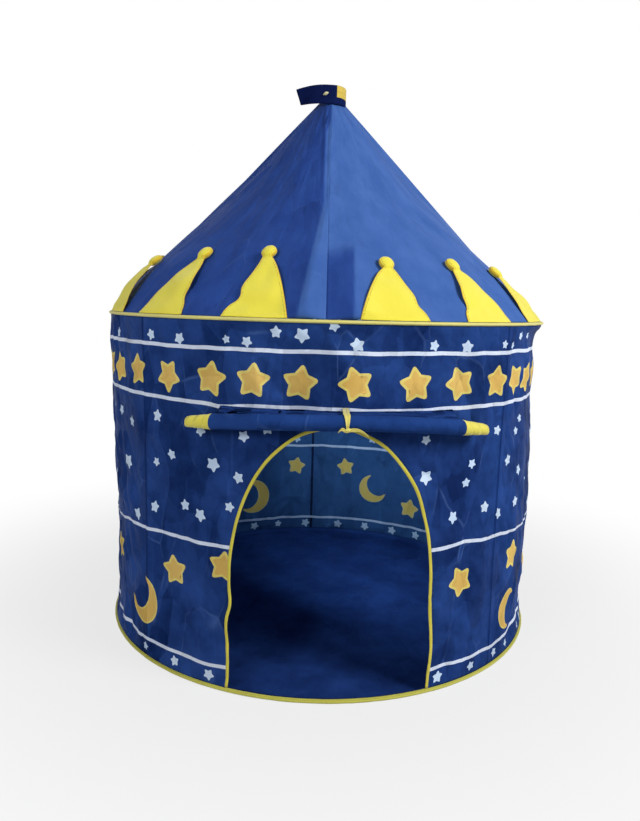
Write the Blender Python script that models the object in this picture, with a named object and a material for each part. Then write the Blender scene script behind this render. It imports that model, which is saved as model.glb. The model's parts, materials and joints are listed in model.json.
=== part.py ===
"""Round play tent: two spring-wire hoops, a fabric wall and cone roof, poles, crown points and a roll-up door."""
import bpy
import bmesh
from math import atan, cos, hypot, pi, radians, sin, sqrt, tan
from mathutils import Matrix, Vector

# Driving sizes, in metres. The tent stands on z = 0 with its axis on x = y = 0 and its door towards -Y.
HOOP_RADIUS = 0.552
EAVE_HEIGHT = 0.783
TIP_HEIGHT = 1.355
FABRIC = 0.001
GAP = 0.0003
SEAM_CLEARANCE = 0.0004
WIRE_RADIUS = 0.0025
BINDING_RADIUS = 0.005
BINDING_WALL = 0.0014
BINDING_SLIT = 0.0024

# Wall panels draw in between the hoops, least where a pole stands behind them
WAIST_AT_POLE = 0.004
WAIST_BETWEEN_POLES = 0.010

# Doorway, in the front panel
DOOR_HALF_WIDTH = 0.2227
DOOR_HEIGHT = 0.580
DOOR_SPRING_HEIGHT = 0.250
DOOR_BINDING_WIDTH = 0.0095
DOOR_BINDING_THICKNESS = 0.003

# Rolled door flap, tied up over the doorway
ROLL_RADIUS = 0.0165
ROLL_ABOVE_DOOR = 0.012
ROLL_LENGTH = 0.515
ROLL_DROOP = 0.024
ROLL_END_LENGTH = 0.062
ROLL_END_TIP_RADIUS = 0.0105
ROLL_CORE_RADIUS = 0.004
ROLL_CORE_DEPTH = 0.006
FLAP_SEAM_RISE = 0.0025
TIE_WIDTH = 0.013
TIE_THICKNESS = 0.0012
TIE_KNOT_THICKNESS = 0.006
TIE_TAIL = 0.026
TIE_SEAM_RISE = 0.012

# Wall poles, each of two tubes and a ferrule, folding down about the foot
POLE_RADIUS = 0.0045
POLE_BORE_RADIUS = 0.0030
POLE_BORE_DEPTH = 0.030
FERRULE_WALL = 0.0013
FERRULE_LENGTH = 0.060
FOOT_RADIUS = 0.0060
POLE_TOP_BELOW_EAVE = 0.0225
POCKET_WALL = 0.0014
POCKET_MOUTH = 0.0045
FOOT_POCKET_HEIGHT = 0.055
TOP_POCKET_LENGTH = 0.042

# Roof rods and the fittings at the tip
ROD_RADIUS = 0.004
HUB_ROD_REACH = 0.0165
HUB_FACE_MARGIN = 0.0015
HUB_FACE_COVER = 0.0018
HUB_BOSS = 0.004
HUB_CROWN = 0.006
HUB_TOP_RADIUS = 0.006
HUB_BOTTOM_RADIUS = 0.006
ROOF_OPENING_RADIUS = 0.012
CAP_SLANT = 0.045
CAP_TOP_RADIUS = 0.006
FLAG_THICKNESS = 0.0015
FLAG_ABOVE_TIP = 0.015
FLAG_WIDTH = 0.036
FLAG_LOOP_HALF_WIDTH = 0.036
FLAG_LENGTH = 0.090
FLAG_DROOP = 0.014
FLAG_LEAN_SHARE = 0.3
FLAG_TOP_DROOP_SHARE = 0.33

# Crown points, soft triangles with a ball at the tip
CROWN_WIDTH = 0.143
CROWN_LENGTH = 0.172
CROWN_BALL_RADIUS = 0.0135
CROWN_NECK = 0.009
CROWN_BACK = 0.0012
CROWN_PUFF = 0.005
CROWN_SEAM_RISE = 0.0024

# Counts and angles
SEGMENTS = 56
GORES = 4
POLES = 4
CROWN_POINTS = 14
TUBE_SIDES = 10
FIRST_POLE_AZIMUTH = radians(45)
POLE_FOLD_FROM_RADIAL = radians(45)
DOOR_AZIMUTH = radians(2.6)
ROLL_AZIMUTH = radians(4.5)
POCKET_ROOF_ANGLE = radians(40)

# Roof shape: round at the eave, flatter between the rods higher up
FLAT_SHARE = 0.45
FLAT_FROM_SHARE = 0.15
FLAT_OVER_SHARE = 0.45
ROOF_ROW_SHARES = (0.0, 0.10, 0.20, 0.30, 0.40, 0.52, 0.68, 0.84, 1.0)
WALL_ROW_SHARES = (0.0, 0.12, 0.26, 0.42, 0.58, 0.74, 0.88, 1.0)

# Crown point outline, from the base up to the neck: height and half width
CROWN_OUTLINE_SHARES = ((0.0, 1.0), (0.10, 0.84), (0.24, 0.70), (0.40, 0.53), (0.58, 0.36), (0.76, 0.21))
CROWN_PUFF_POWER = 0.5
BALL_ANGLES = tuple(radians(a) for a in (-50, -20, 15, 50, 78))
CROSS_SHARES = (-1.0, -0.55, 0.0, 0.55, 1.0)

# Door tie below the roll's middle: share of the tail's length, and share of the tie's width
KNOT_SHARES = ((0.16, 0.77), (0.26, 0.77), (0.44, 0.77))
TAIL_SHARES = ((0.54, 0.38), (1.0, 1.0))
TIE_ANGLES = tuple(radians(a) for a in (108, 90, 72, 54, 36, 18, 0))

# How far the doorway's cutter closes in beyond the wall
CUTTER_END_SHARE = 0.5

# Sizes that follow from those above
WALL_BOTTOM = 2 * BINDING_RADIUS + GAP
WALL_TOP = EAVE_HEIGHT - BINDING_RADIUS - GAP
ROLL_HEIGHT = DOOR_HEIGHT + ROLL_ABOVE_DOOR
FLAP_SEAM_HEIGHT = ROLL_HEIGHT + ROLL_RADIUS + FLAP_SEAM_RISE
FLAG_TOP = TIP_HEIGHT + FLAG_ABOVE_TIP
FLAG_BOTTOM = FLAG_TOP - FLAG_WIDTH
CROWN_ABOVE_HOOP = BINDING_RADIUS + CROWN_SEAM_RISE
ROOF_RISE = TIP_HEIGHT - EAVE_HEIGHT
ROOF_SLANT = hypot(HOOP_RADIUS, ROOF_RISE)
SLOPE = Vector((-HOOP_RADIUS / ROOF_SLANT, ROOF_RISE / ROOF_SLANT))
SLOPE_NORMAL = Vector((ROOF_RISE / ROOF_SLANT, HOOP_RADIUS / ROOF_SLANT))
SHEET_RADIUS = HOOP_RADIUS - BINDING_RADIUS - GAP
POCKET_BORE = FOOT_RADIUS + GAP
POCKET_RADIUS = POCKET_BORE + POCKET_WALL
POLE_CIRCLE = SHEET_RADIUS - POCKET_RADIUS
PIVOT_HEIGHT = FABRIC + GAP + FOOT_RADIUS
POLE_TOP = EAVE_HEIGHT - POLE_TOP_BELOW_EAVE
ROLL_CIRCLE = HOOP_RADIUS + BINDING_RADIUS + GAP + FABRIC + GAP + ROLL_RADIUS
FULL_TURN = 2 * pi

COLOURS = {
    "wall_nylon": ((0.020, 0.045, 0.200), 0.50, 0.0),
    "roof_nylon": ((0.030, 0.070, 0.260), 0.45, 0.0),
    "floor_nylon": ((0.012, 0.025, 0.110), 0.50, 0.0),
    "flap_nylon": ((0.018, 0.036, 0.160), 0.50, 0.0),
    "eave_tape": ((0.720, 0.650, 0.200), 0.70, 0.0),
    "base_tape": ((0.480, 0.460, 0.060), 0.70, 0.0),
    "door_tape": ((0.600, 0.520, 0.080), 0.70, 0.0),
    "crown_felt": ((0.780, 0.620, 0.030), 0.80, 0.0),
    "ribbon": ((0.800, 0.640, 0.040), 0.60, 0.0),
    "pocket_web": ((0.015, 0.030, 0.120), 0.80, 0.0),
    "spring_steel": ((0.450, 0.450, 0.460), 0.30, 1.0),
    "pole_plastic": ((0.800, 0.800, 0.780), 0.40, 0.0),
    "ferrule_plastic": ((0.100, 0.110, 0.130), 0.45, 0.0),
    "hub_plastic": ((0.060, 0.065, 0.080), 0.50, 0.0),
}
SHARP_ANGLE = radians(38)


def clear_scene():
    for obj in list(bpy.data.objects):
        bpy.data.objects.remove(obj, do_unlink=True)


def material(slot):
    found = bpy.data.materials.get(slot)
    if found is not None:
        return found
    colour, roughness, metallic = COLOURS[slot]
    made = bpy.data.materials.new(slot)
    made.use_nodes = True
    shader = made.node_tree.nodes["Principled BSDF"]
    shader.inputs["Base Color"].default_value = (*colour, 1.0)
    shader.inputs["Roughness"].default_value = roughness
    shader.inputs["Metallic"].default_value = metallic
    return made


def group(name, location=(0, 0, 0)):
    """An empty on a joint's axis, which carries the pieces that move with it."""
    empty = bpy.data.objects.new(name, None)
    empty.location = location
    bpy.context.scene.collection.objects.link(empty)
    return empty


def add_object(name, bm, slot, origin=(0, 0, 0), parent=None):
    """Turn a mesh made in world coordinates into an object whose origin is at the given point."""
    bmesh.ops.recalc_face_normals(bm, faces=bm.faces)
    bmesh.ops.translate(bm, verts=bm.verts, vec=-Vector(origin))
    mesh = bpy.data.meshes.new(name)
    bm.to_mesh(mesh)
    bm.free()
    mesh.materials.append(material(slot))
    mesh.shade_smooth()
    mesh.set_sharp_from_angle(angle=SHARP_ANGLE)
    obj = bpy.data.objects.new(name, mesh)
    bpy.context.scene.collection.objects.link(obj)
    obj.location = Vector(origin)
    if parent is not None:
        obj.parent = parent
        obj.location = Vector(origin) - parent.location
    return obj


def loft(sections, endless=False):
    """Skin a run of closed sections that have the same number of points, capped unless it is endless."""
    bm = bmesh.new()
    rings = [[bm.verts.new(point) for point in section] for section in sections]
    pairs = list(zip(rings, rings[1:]))
    if endless:
        pairs.append((rings[-1], rings[0]))
    for low, high in pairs:
        for i in range(len(low)):
            j = (i + 1) % len(low)
            bm.faces.new((low[i], low[j], high[j], high[i]))
    if not endless:
        bm.faces.new(list(reversed(rings[0])))
        bm.faces.new(rings[-1])
    return bm


def at(azimuth, radius, height):
    """A point by its azimuth, 0 at the front and growing to the tent's +X side."""
    return Vector((radius * sin(azimuth), -radius * cos(azimuth), height))


def around(profile, azimuths):
    """Sections made by standing one profile of (radius, height) points at each azimuth."""
    return [[at(a, r, z) for r, z in profile] for a in azimuths]


def ring_azimuths(count=SEGMENTS):
    return [FULL_TURN * i / count for i in range(count)]


def circle(radius, sides, centre=(0.0, 0.0), first=0.0):
    return [
        (centre[0] + radius * cos(first + FULL_TURN * i / sides), centre[1] + radius * sin(first + FULL_TURN * i / sides))
        for i in range(sides)
    ]


def turned(profile, sides, foot, axis=Vector((0, 0, 1)), first=0.0):
    """A solid turned about an axis from (radius, distance) points, with flat ends."""
    turn = Vector((0, 0, 1)).rotation_difference(axis).to_matrix()
    sections = []
    for radius, distance in profile:
        flat = circle(radius, sides, first=first)
        sections.append([Vector(foot) + turn @ Vector((x, y, distance)) for x, y in flat])
    return loft(sections)


def smoothstep(value):
    value = min(max(value, 0.0), 1.0)
    return value * value * (3 - 2 * value)


def wall_radius(azimuth, height):
    """Radius of the wall sheet's middle surface."""
    share = min(max((height - WALL_BOTTOM) / (WALL_TOP - WALL_BOTTOM), 0.0), 1.0)
    between = 0.5 + 0.5 * cos(POLES * azimuth)
    waist = WAIST_AT_POLE + (WAIST_BETWEEN_POLES - WAIST_AT_POLE) * between
    return HOOP_RADIUS - waist * sin(pi * share)


def roof_point(azimuth, along, off):
    """A point of the roof by its distance up the slope from the eave hoop and its distance off the sheet's middle."""
    flat = FLAT_SHARE * smoothstep((along / ROOF_SLANT - FLAT_FROM_SHARE) / FLAT_OVER_SHARE)
    square = 1 / (abs(sin(azimuth)) + abs(cos(azimuth)))
    place = Vector((HOOP_RADIUS, EAVE_HEIGHT)) + SLOPE * along + SLOPE_NORMAL * off
    return place.x * (1 - flat * (1 - square)), place.y


def sheet_columns(first, last, count):
    return [first + (last - first) * i / count for i in range(count + 1)]


def make_hoop(name, height, parent=None):
    section = circle(WIRE_RADIUS, 6, centre=(HOOP_RADIUS, height))
    bm = loft(around(section, ring_azimuths()), endless=True)
    return add_object(name, bm, "spring_steel", parent=parent)


def make_hoop_binding(name, height, slot, parent=None):
    """Folded tape round the hoop, open in a slit on the tent's inner side."""
    inner_radius = BINDING_RADIUS - BINDING_WALL
    steps = 8
    outer_start = pi - BINDING_SLIT / BINDING_RADIUS / 2
    inner_start = pi - BINDING_SLIT / inner_radius / 2
    outer = [outer_start - 2 * outer_start * i / steps for i in range(steps + 1)]
    inner = [-inner_start + 2 * inner_start * i / steps for i in range(steps + 1)]
    outline = [(HOOP_RADIUS + BINDING_RADIUS * cos(a), height + BINDING_RADIUS * sin(a)) for a in outer]
    outline += [(HOOP_RADIUS + inner_radius * cos(a), height + inner_radius * sin(a)) for a in inner]
    bm = loft(around(outline, ring_azimuths()), endless=True)
    return add_object(name, bm, slot, parent=parent)


def make_groundsheet():
    rim = [at(a, SHEET_RADIUS, 0) for a in ring_azimuths()]
    top = [point + Vector((0, 0, FABRIC)) for point in rim]
    return add_object("groundsheet", loft([rim, top]), "floor_nylon")


def wall_panel(first, last):
    """One curved sheet between two pole seams."""
    margin = GAP / 2 / HOOP_RADIUS
    columns = sheet_columns(first + margin, last - margin, SEGMENTS // POLES)
    heights = [WALL_BOTTOM + (WALL_TOP - WALL_BOTTOM) * share for share in WALL_ROW_SHARES]
    sections = []
    for azimuth in columns:
        outer = [at(azimuth, wall_radius(azimuth, z) + FABRIC / 2, z) for z in heights]
        inner = [at(azimuth, wall_radius(azimuth, z) - FABRIC / 2, z) for z in reversed(heights)]
        sections.append(outer + inner)
    return loft(sections)


def door_outline(inset, bottom):
    """The doorway's edge as (distance round the hoop, height), drawn in by an inset, from left foot to right foot."""
    half_width = DOOR_HALF_WIDTH - inset
    rise = DOOR_HEIGHT - DOOR_SPRING_HEIGHT - inset
    side_steps = 4
    arch_steps = 28
    left = [(-half_width, bottom + (DOOR_SPRING_HEIGHT - bottom) * i / side_steps) for i in range(side_steps)]
    arch = []
    for i in range(arch_steps + 1):
        turn = pi - pi * i / arch_steps
        arch.append((half_width * cos(turn), DOOR_SPRING_HEIGHT + rise * sin(turn)))
    right = [(half_width, z) for _, z in reversed(left)]
    return left + arch + right


def make_front_wall(first, last):
    wall = add_object("wall_front", wall_panel(first, last), "wall_nylon")
    overrun = 4 * BINDING_RADIUS
    near = HOOP_RADIUS - WAIST_BETWEEN_POLES - 2 * FABRIC
    far = HOOP_RADIUS + 2 * FABRIC
    dome = (HOOP_RADIUS + overrun) / cos(DOOR_HALF_WIDTH / HOOP_RADIUS)
    edge = door_outline(0, -overrun)
    drawn_in = [(s * CUTTER_END_SHARE, (z - overrun) * CUTTER_END_SHARE) for s, z in edge]
    sections = []
    for radius, outline in ((near, edge), (far, edge), (dome, drawn_in)):
        sections.append([at(DOOR_AZIMUTH + s / HOOP_RADIUS, radius, z) for s, z in outline])
    cutter = add_object("door_cutter", loft(sections), "door_tape")
    cutter.hide_render = True
    cutter.display_type = "WIRE"
    cut = wall.modifiers.new("doorway", "BOOLEAN")
    cut.operation = "DIFFERENCE"
    cut.solver = "EXACT"
    cut.object = cutter


def make_walls():
    quarter = FULL_TURN / POLES
    names = ("wall_right", "wall_back", "wall_left")
    make_front_wall(FIRST_POLE_AZIMUTH - quarter, FIRST_POLE_AZIMUTH)
    for i, name in enumerate(names):
        start = FIRST_POLE_AZIMUTH + quarter * i
        add_object(name, wall_panel(start, start + quarter), "wall_nylon")


def make_door_binding():
    """Folded tape along the doorway's edge, from the floor hoop up and over the arch."""
    outer_edge = door_outline(SEAM_CLEARANCE, WALL_BOTTOM)
    inner_edge = door_outline(SEAM_CLEARANCE + DOOR_BINDING_WIDTH, WALL_BOTTOM)
    half = DOOR_BINDING_THICKNESS / 2
    sections = []
    for outer_point, inner_point in zip(outer_edge, inner_edge):
        section = []
        for (s, z), side in ((outer_point, 1), (outer_point, -1), (inner_point, -1), (inner_point, 1)):
            azimuth = DOOR_AZIMUTH + s / HOOP_RADIUS
            section.append(at(azimuth, wall_radius(azimuth, z) + side * half, z))
        sections.append(section)
    return add_object("door_binding", loft(sections), "door_tape")


def make_roof_gore(name, first, last, parent):
    low = BINDING_RADIUS + 2 * GAP
    high = ROOF_SLANT * (1 - ROOF_OPENING_RADIUS / HOOP_RADIUS)
    rows = [low + (high - low) * share for share in ROOF_ROW_SHARES]
    sections = []
    count = SEGMENTS // GORES
    for i in range(count + 1):
        section = []
        run = [(row, FABRIC / 2) for row in rows] + [(row, -FABRIC / 2) for row in reversed(rows)]
        for along, off in run:
            azimuth = first + (last - first) * i / count
            radius, height = roof_point(azimuth, along, off)
            if i == 0:
                azimuth += GAP / 2 / radius
            if i == count:
                azimuth -= GAP / 2 / radius
            section.append(at(azimuth, radius, height))
        sections.append(section)
    return add_object(name, loft(sections), "roof_nylon", parent=parent)


def rod_depth():
    """How far a rod's axis lies under the sheet's middle, in the corner of two gores."""
    corner = atan(FLAT_SHARE * SLOPE_NORMAL.x)
    return FABRIC / 2 / cos(corner) + (ROD_RADIUS + 2 * GAP) / cos(corner)


def rod_point(along):
    """The rod's axis as (radius, height), by its distance up the slope."""
    place = Vector((HOOP_RADIUS, EAVE_HEIGHT)) + SLOPE * along - SLOPE_NORMAL * rod_depth()
    return place.x, place.y


def rod_span():
    """Where a rod starts, clear of the eave binding, and where it ends, at the hub."""
    clear = BINDING_RADIUS + GAP
    near = max(rod_depth() - ROD_RADIUS, 0)
    start = sqrt(max(clear * clear - near * near, 0))
    finish = (HOOP_RADIUS - SLOPE_NORMAL.x * rod_depth() - HUB_ROD_REACH) / -SLOPE.x
    return start, finish


def make_roof_rod(name, azimuth, parent):
    start, finish = rod_span()
    low = at(azimuth, *rod_point(start))
    high = at(azimuth, *rod_point(finish))
    length = (high - low).length
    bm = turned([(ROD_RADIUS, 0), (ROD_RADIUS, length)], TUBE_SIDES, low, (high - low).normalized())
    return add_object(name, bm, "pole_plastic", origin=low, parent=parent)


def make_apex_hub(parent):
    """The rods' top ends stand square on the lower faces of this boss."""
    sides = 4 * GORES
    radius, height = rod_point(rod_span()[1])
    face = Vector((radius, height)) + SLOPE * GAP
    low = face - SLOPE_NORMAL * (ROD_RADIUS + HUB_FACE_MARGIN)
    high = face + SLOPE_NORMAL * HUB_FACE_COVER
    to_corner = 1 / cos(pi / sides)
    bottom = low.y - HUB_BOSS
    profile = [
        (HUB_BOTTOM_RADIUS, 0),
        (low.x * to_corner, low.y - bottom),
        (high.x * to_corner, high.y - bottom),
        (HUB_TOP_RADIUS, high.y - bottom + HUB_CROWN),
    ]
    bm = turned(profile, sides, (0, 0, bottom), first=pi / sides)
    return add_object("apex_hub", bm, "hub_plastic", origin=(0, 0, bottom), parent=parent)


def cap_radius(height, off):
    """Radius of the tip cap's surface that lies off the sheet's middle by the given distance."""
    along = (height - EAVE_HEIGHT - SLOPE_NORMAL.y * off) / SLOPE.y
    return HOOP_RADIUS + SLOPE.x * along + SLOPE_NORMAL.x * off


def make_apex_cap(parent):
    """A small fabric cone sewn over the gores' tips."""
    inner_off = FABRIC / 2 + GAP
    outer_off = inner_off + FABRIC
    low = ROOF_SLANT - CAP_SLANT
    corners = []
    for off in (inner_off, outer_off):
        place = Vector((HOOP_RADIUS, EAVE_HEIGHT)) + SLOPE * low + SLOPE_NORMAL * off
        corners.append((place.x, place.y))
    inner_low, outer_low = corners
    outer_top = TIP_HEIGHT + (outer_off / SLOPE_NORMAL.y) - CAP_TOP_RADIUS * ROOF_RISE / HOOP_RADIUS
    inner_top = outer_top - FABRIC
    profile = [
        (cap_radius(inner_top, inner_off), inner_top),
        inner_low,
        outer_low,
        (CAP_TOP_RADIUS, outer_top),
    ]
    bm = turned(profile, 4 * GORES, (0, 0, 0))
    return add_object("apex_cap", bm, "roof_nylon", parent=parent)


def make_apex_flag(parent):
    """A strap that goes round the tip and flies to the tent's left."""
    off = FABRIC / 2 + GAP + FABRIC
    depth = cap_radius(FLAG_BOTTOM, off) + 2 * GAP + FLAG_THICKNESS / 2
    path = []
    free_steps = 6
    loop_steps = 12
    for i in range(free_steps):
        share = 1 - i / free_steps
        lean = 1 - FLAG_LEAN_SHARE * share * share
        path.append((-FLAG_LENGTH * share, -depth * lean, FLAG_DROOP * share * share))
    for i in range(loop_steps + 1):
        turn = -pi / 2 + pi * i / loop_steps
        path.append((FLAG_LOOP_HALF_WIDTH * cos(turn), depth * sin(turn), 0.0))
    sections = []
    for i, (x, y, droop) in enumerate(path):
        before = Vector(path[max(i - 1, 0)][:2])
        after = Vector(path[min(i + 1, len(path) - 1)][:2])
        ahead = (after - before).normalized()
        side = Vector((ahead.y, -ahead.x)) * FLAG_THICKNESS / 2
        low = FLAG_BOTTOM - droop
        high = FLAG_TOP - droop * FLAG_TOP_DROOP_SHARE
        sections.append([
            Vector((x + side.x, y + side.y, low)),
            Vector((x + side.x, y + side.y, high)),
            Vector((x - side.x, y - side.y, high)),
            Vector((x - side.x, y - side.y, low)),
        ])
    return add_object("apex_flag", loft(sections), "flap_nylon", parent=parent)


def fold_direction(azimuth):
    """The level direction in which a pole folds down, turned from the radial so that laid poles miss each other."""
    inward = azimuth + pi
    return at(inward + POLE_FOLD_FROM_RADIAL, 1, 0)


def pocket_outline(radius, mouth, foot, ahead):
    """A round-backed channel's outline, open towards the fold direction."""
    across = Vector((-ahead.y, ahead.x, 0))
    steps = 8
    points = [foot + across * radius + ahead * mouth]
    for i in range(steps + 1):
        turn = pi * i / steps
        points.append(foot + across * radius * cos(turn) - ahead * radius * sin(turn))
    points.append(foot - across * radius + ahead * mouth)
    return points


def raised(points, height, foot, ahead, slope=0.0):
    return [Vector((p.x, p.y, height + slope * (p - foot).dot(ahead))) for p in points]


def make_foot_pocket(name, azimuth):
    foot = at(azimuth, POLE_CIRCLE, 0)
    ahead = fold_direction(azimuth)
    outer = pocket_outline(POCKET_RADIUS, POCKET_MOUTH, foot, ahead)
    inner = pocket_outline(POCKET_BORE, POCKET_MOUTH, foot, ahead)
    outline = outer + list(reversed(inner))
    low = FABRIC + GAP
    bm = loft([raised(outline, z, foot, ahead) for z in (low, low + FOOT_POCKET_HEIGHT)])
    return add_object(name, bm, "pocket_web")


def make_top_pocket(name, azimuth, parent):
    """A channel that hangs from the eave, with a roof that slopes up the way the pole leaves it."""
    foot = at(azimuth, POLE_CIRCLE, 0)
    ahead = fold_direction(azimuth)
    slope = tan(POCKET_ROOF_ANGLE)
    tip_centre = POLE_TOP - POLE_RADIUS
    roof_below = tip_centre + (POLE_RADIUS + GAP) / cos(POCKET_ROOF_ANGLE)
    roof_above = roof_below + POCKET_WALL / cos(POCKET_ROOF_ANGLE)
    low = POLE_TOP - TOP_POCKET_LENGTH
    outer = pocket_outline(POCKET_RADIUS, POCKET_MOUTH, foot, ahead)
    body = loft([raised(outer, low, foot, ahead), raised(outer, roof_above, foot, ahead, slope)])
    pocket = add_object(name, body, "pocket_web", parent=parent)
    overrun = 2 * POCKET_WALL
    slot = pocket_outline(POCKET_BORE, POCKET_MOUTH + overrun, foot, ahead)
    inside = loft([raised(slot, low - overrun, foot, ahead), raised(slot, roof_below, foot, ahead, slope)])
    cutter = add_object(name + "_slot", inside, "pocket_web", parent=parent)
    cutter.hide_render = True
    cutter.display_type = "WIRE"
    cut = pocket.modifiers.new("slot", "BOOLEAN")
    cut.operation = "DIFFERENCE"
    cut.solver = "EXACT"
    cut.object = cutter


def make_pole(side, azimuth, parent):
    """Two tubes and the ferrule over their joint, with the origin at the foot's pivot."""
    foot = at(azimuth, POLE_CIRCLE, PIVOT_HEIGHT)
    joint = (POLE_TOP - PIVOT_HEIGHT) / 2
    top = POLE_TOP - PIVOT_HEIGHT
    neck = sqrt(FOOT_RADIUS ** 2 - POLE_RADIUS ** 2)
    foot_ball = [(FOOT_RADIUS * sin(t), -FOOT_RADIUS * cos(t)) for t in (radians(a) for a in (12, 35, 60, 90, 115))]
    foot_ball.append((POLE_RADIUS, neck + GAP))
    lower = foot_ball + [
        (POLE_RADIUS, joint),
        (POLE_BORE_RADIUS, joint),
        (POLE_BORE_RADIUS, joint - POLE_BORE_DEPTH),
    ]
    dome = [(POLE_RADIUS * cos(t), top - POLE_RADIUS + POLE_RADIUS * sin(t)) for t in (radians(a) for a in (30, 60, 80))]
    start = joint + GAP
    upper = [
        (POLE_BORE_RADIUS, start + POLE_BORE_DEPTH),
        (POLE_BORE_RADIUS, start),
        (POLE_RADIUS, start),
        (POLE_RADIUS, top - POLE_RADIUS),
    ] + dome
    for part, profile in (("lower", lower), ("upper", upper)):
        add_object(f"pole_{side}_{part}", turned(profile, TUBE_SIDES, foot), "pole_plastic", foot, parent)
    bore = (POLE_RADIUS + GAP) / cos(pi / TUBE_SIDES)
    outside = POLE_RADIUS + GAP + FERRULE_WALL
    low = foot.z + joint - FERRULE_LENGTH / 2
    sleeve = [(bore, low), (outside, low), (outside, low + FERRULE_LENGTH), (bore, low + FERRULE_LENGTH)]
    sections = [
        [Vector((foot.x + r * cos(a), foot.y + r * sin(a), z)) for r, z in sleeve]
        for a in ring_azimuths(TUBE_SIDES)
    ]
    add_object(f"pole_{side}_ferrule", loft(sections, endless=True), "ferrule_plastic", foot, parent)


def make_poles(canopy):
    sides = ("front_right", "back_right", "back_left", "front_left")
    for i, side in enumerate(sides):
        azimuth = FIRST_POLE_AZIMUTH + FULL_TURN * i / POLES
        pivot = group(f"pole_{side}_pivot", at(azimuth, POLE_CIRCLE, PIVOT_HEIGHT))
        make_pole(side, azimuth, pivot)
        make_foot_pocket(f"foot_pocket_{side}", azimuth)
        make_top_pocket(f"top_pocket_{side}", azimuth, canopy)


def crown_sections():
    """The point's sections from base to ball in its own frame: x across, y up the slope, z out from the roof."""
    neck_height = CROWN_LENGTH - CROWN_BALL_RADIUS
    rows = []
    for height_share, width_share in CROWN_OUTLINE_SHARES:
        half = CROWN_NECK + (CROWN_WIDTH / 2 - CROWN_NECK) * width_share
        if width_share == 1.0:
            half = CROWN_WIDTH / 2
        rows.append((neck_height * height_share, half))
    for angle in BALL_ANGLES:
        rows.append((CROWN_LENGTH + CROWN_BALL_RADIUS * sin(angle), CROWN_BALL_RADIUS * cos(angle)))
    top = rows[-1][0]
    sections = []
    for height, half in rows:
        rise = sin(pi * min(height / top, 1)) ** CROWN_PUFF_POWER
        front = []
        for share in CROSS_SHARES:
            puff = CROWN_PUFF * rise * (1 - share * share)
            front.append(Vector((half * share, height, puff)))
        back = [Vector((half * share, height, -CROWN_BACK)) for share in reversed(CROSS_SHARES)]
        sections.append(front + back)
    return sections


def make_crown_points(canopy):
    off = FABRIC / 2 + GAP + CROWN_BACK
    seam = Vector((HOOP_RADIUS, EAVE_HEIGHT)) + SLOPE * CROWN_ABOVE_HOOP + SLOPE_NORMAL * off
    for i in range(CROWN_POINTS):
        azimuth = FULL_TURN * (i + 0.5) / CROWN_POINTS
        across = at(azimuth + pi / 2, 1, 0)
        up = at(azimuth, SLOPE.x, SLOPE.y)
        out = at(azimuth, SLOPE_NORMAL.x, SLOPE_NORMAL.y)
        frame = Matrix((across, up, out)).transposed().to_4x4()
        obj = add_object(f"crown_point_{i + 1:02d}", loft(crown_sections()), "crown_felt", parent=canopy)
        frame.translation = at(azimuth, seam.x, seam.y) - canopy.location
        obj.matrix_basis = frame


def roll_height(azimuth):
    """Height of the rolled flap's axis, which droops away from the tie."""
    half = (ROLL_LENGTH / 2 + ROLL_END_LENGTH) / ROLL_CIRCLE
    share = (azimuth - ROLL_AZIMUTH) / half
    return ROLL_HEIGHT - ROLL_DROOP * share * share


def roll_section(azimuth, radius):
    """A rolled sheet's section: its outer turn ends in a step on the tent's side."""
    sides = 12
    points = []
    for i in range(sides):
        turn = FULL_TURN * i / sides
        winding = FABRIC * i / (sides - 1)
        points.append((ROLL_CIRCLE + (radius - winding) * cos(turn), roll_height(azimuth) + (radius - winding) * sin(turn)))
    return [at(azimuth, r, z) for r, z in points]


def make_door_roll(parent):
    half = ROLL_LENGTH / 2 / ROLL_CIRCLE
    steps = 20
    stations = [ROLL_AZIMUTH - half + 2 * half * i / steps for i in range(steps + 1)]
    origin = at(ROLL_AZIMUTH, ROLL_CIRCLE, ROLL_HEIGHT)
    sections = [roll_section(azimuth, ROLL_RADIUS) for azimuth in stations]
    add_object("door_roll", loft(sections), "flap_nylon", origin, parent)
    end_steps = 4
    reach = ROLL_END_LENGTH / ROLL_CIRCLE
    for side, name in ((-1, "door_roll_end_left"), (1, "door_roll_end_right")):
        start = ROLL_AZIMUTH + side * (half + GAP / ROLL_CIRCLE)
        sections = []
        for i in range(end_steps + 1):
            share = i / end_steps
            radius = ROLL_RADIUS + (ROLL_END_TIP_RADIUS - ROLL_RADIUS) * share
            sections.append(roll_section(start + side * reach * share, radius))
        core = ROLL_CORE_RADIUS
        tip = start + side * reach
        sections.append(roll_section(tip, core))
        sections.append(roll_section(tip - side * ROLL_CORE_DEPTH / ROLL_CIRCLE, core))
        add_object(name, loft(sections), "ribbon", at(start, ROLL_CIRCLE, roll_height(start)), parent)


def make_flap_strip(parent):
    """The flap's unrolled edge, sewn to the wall under the white line and running down behind the roll."""
    half = ROLL_LENGTH / 2 / ROLL_CIRCLE
    steps = 20
    sections = []
    for i in range(steps + 1):
        azimuth = ROLL_AZIMUTH - half + 2 * half * i / steps
        seam = wall_radius(azimuth, FLAP_SEAM_HEIGHT) + FABRIC / 2 + GAP
        behind = ROLL_CIRCLE - ROLL_RADIUS - GAP - FABRIC
        low = roll_height(azimuth)
        sections.append([
            at(azimuth, seam, FLAP_SEAM_HEIGHT),
            at(azimuth, seam + FABRIC, FLAP_SEAM_HEIGHT),
            at(azimuth, behind + FABRIC, low),
            at(azimuth, behind, low),
        ])
    add_object("door_flap_strip", loft(sections), "flap_nylon", parent=parent)


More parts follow.
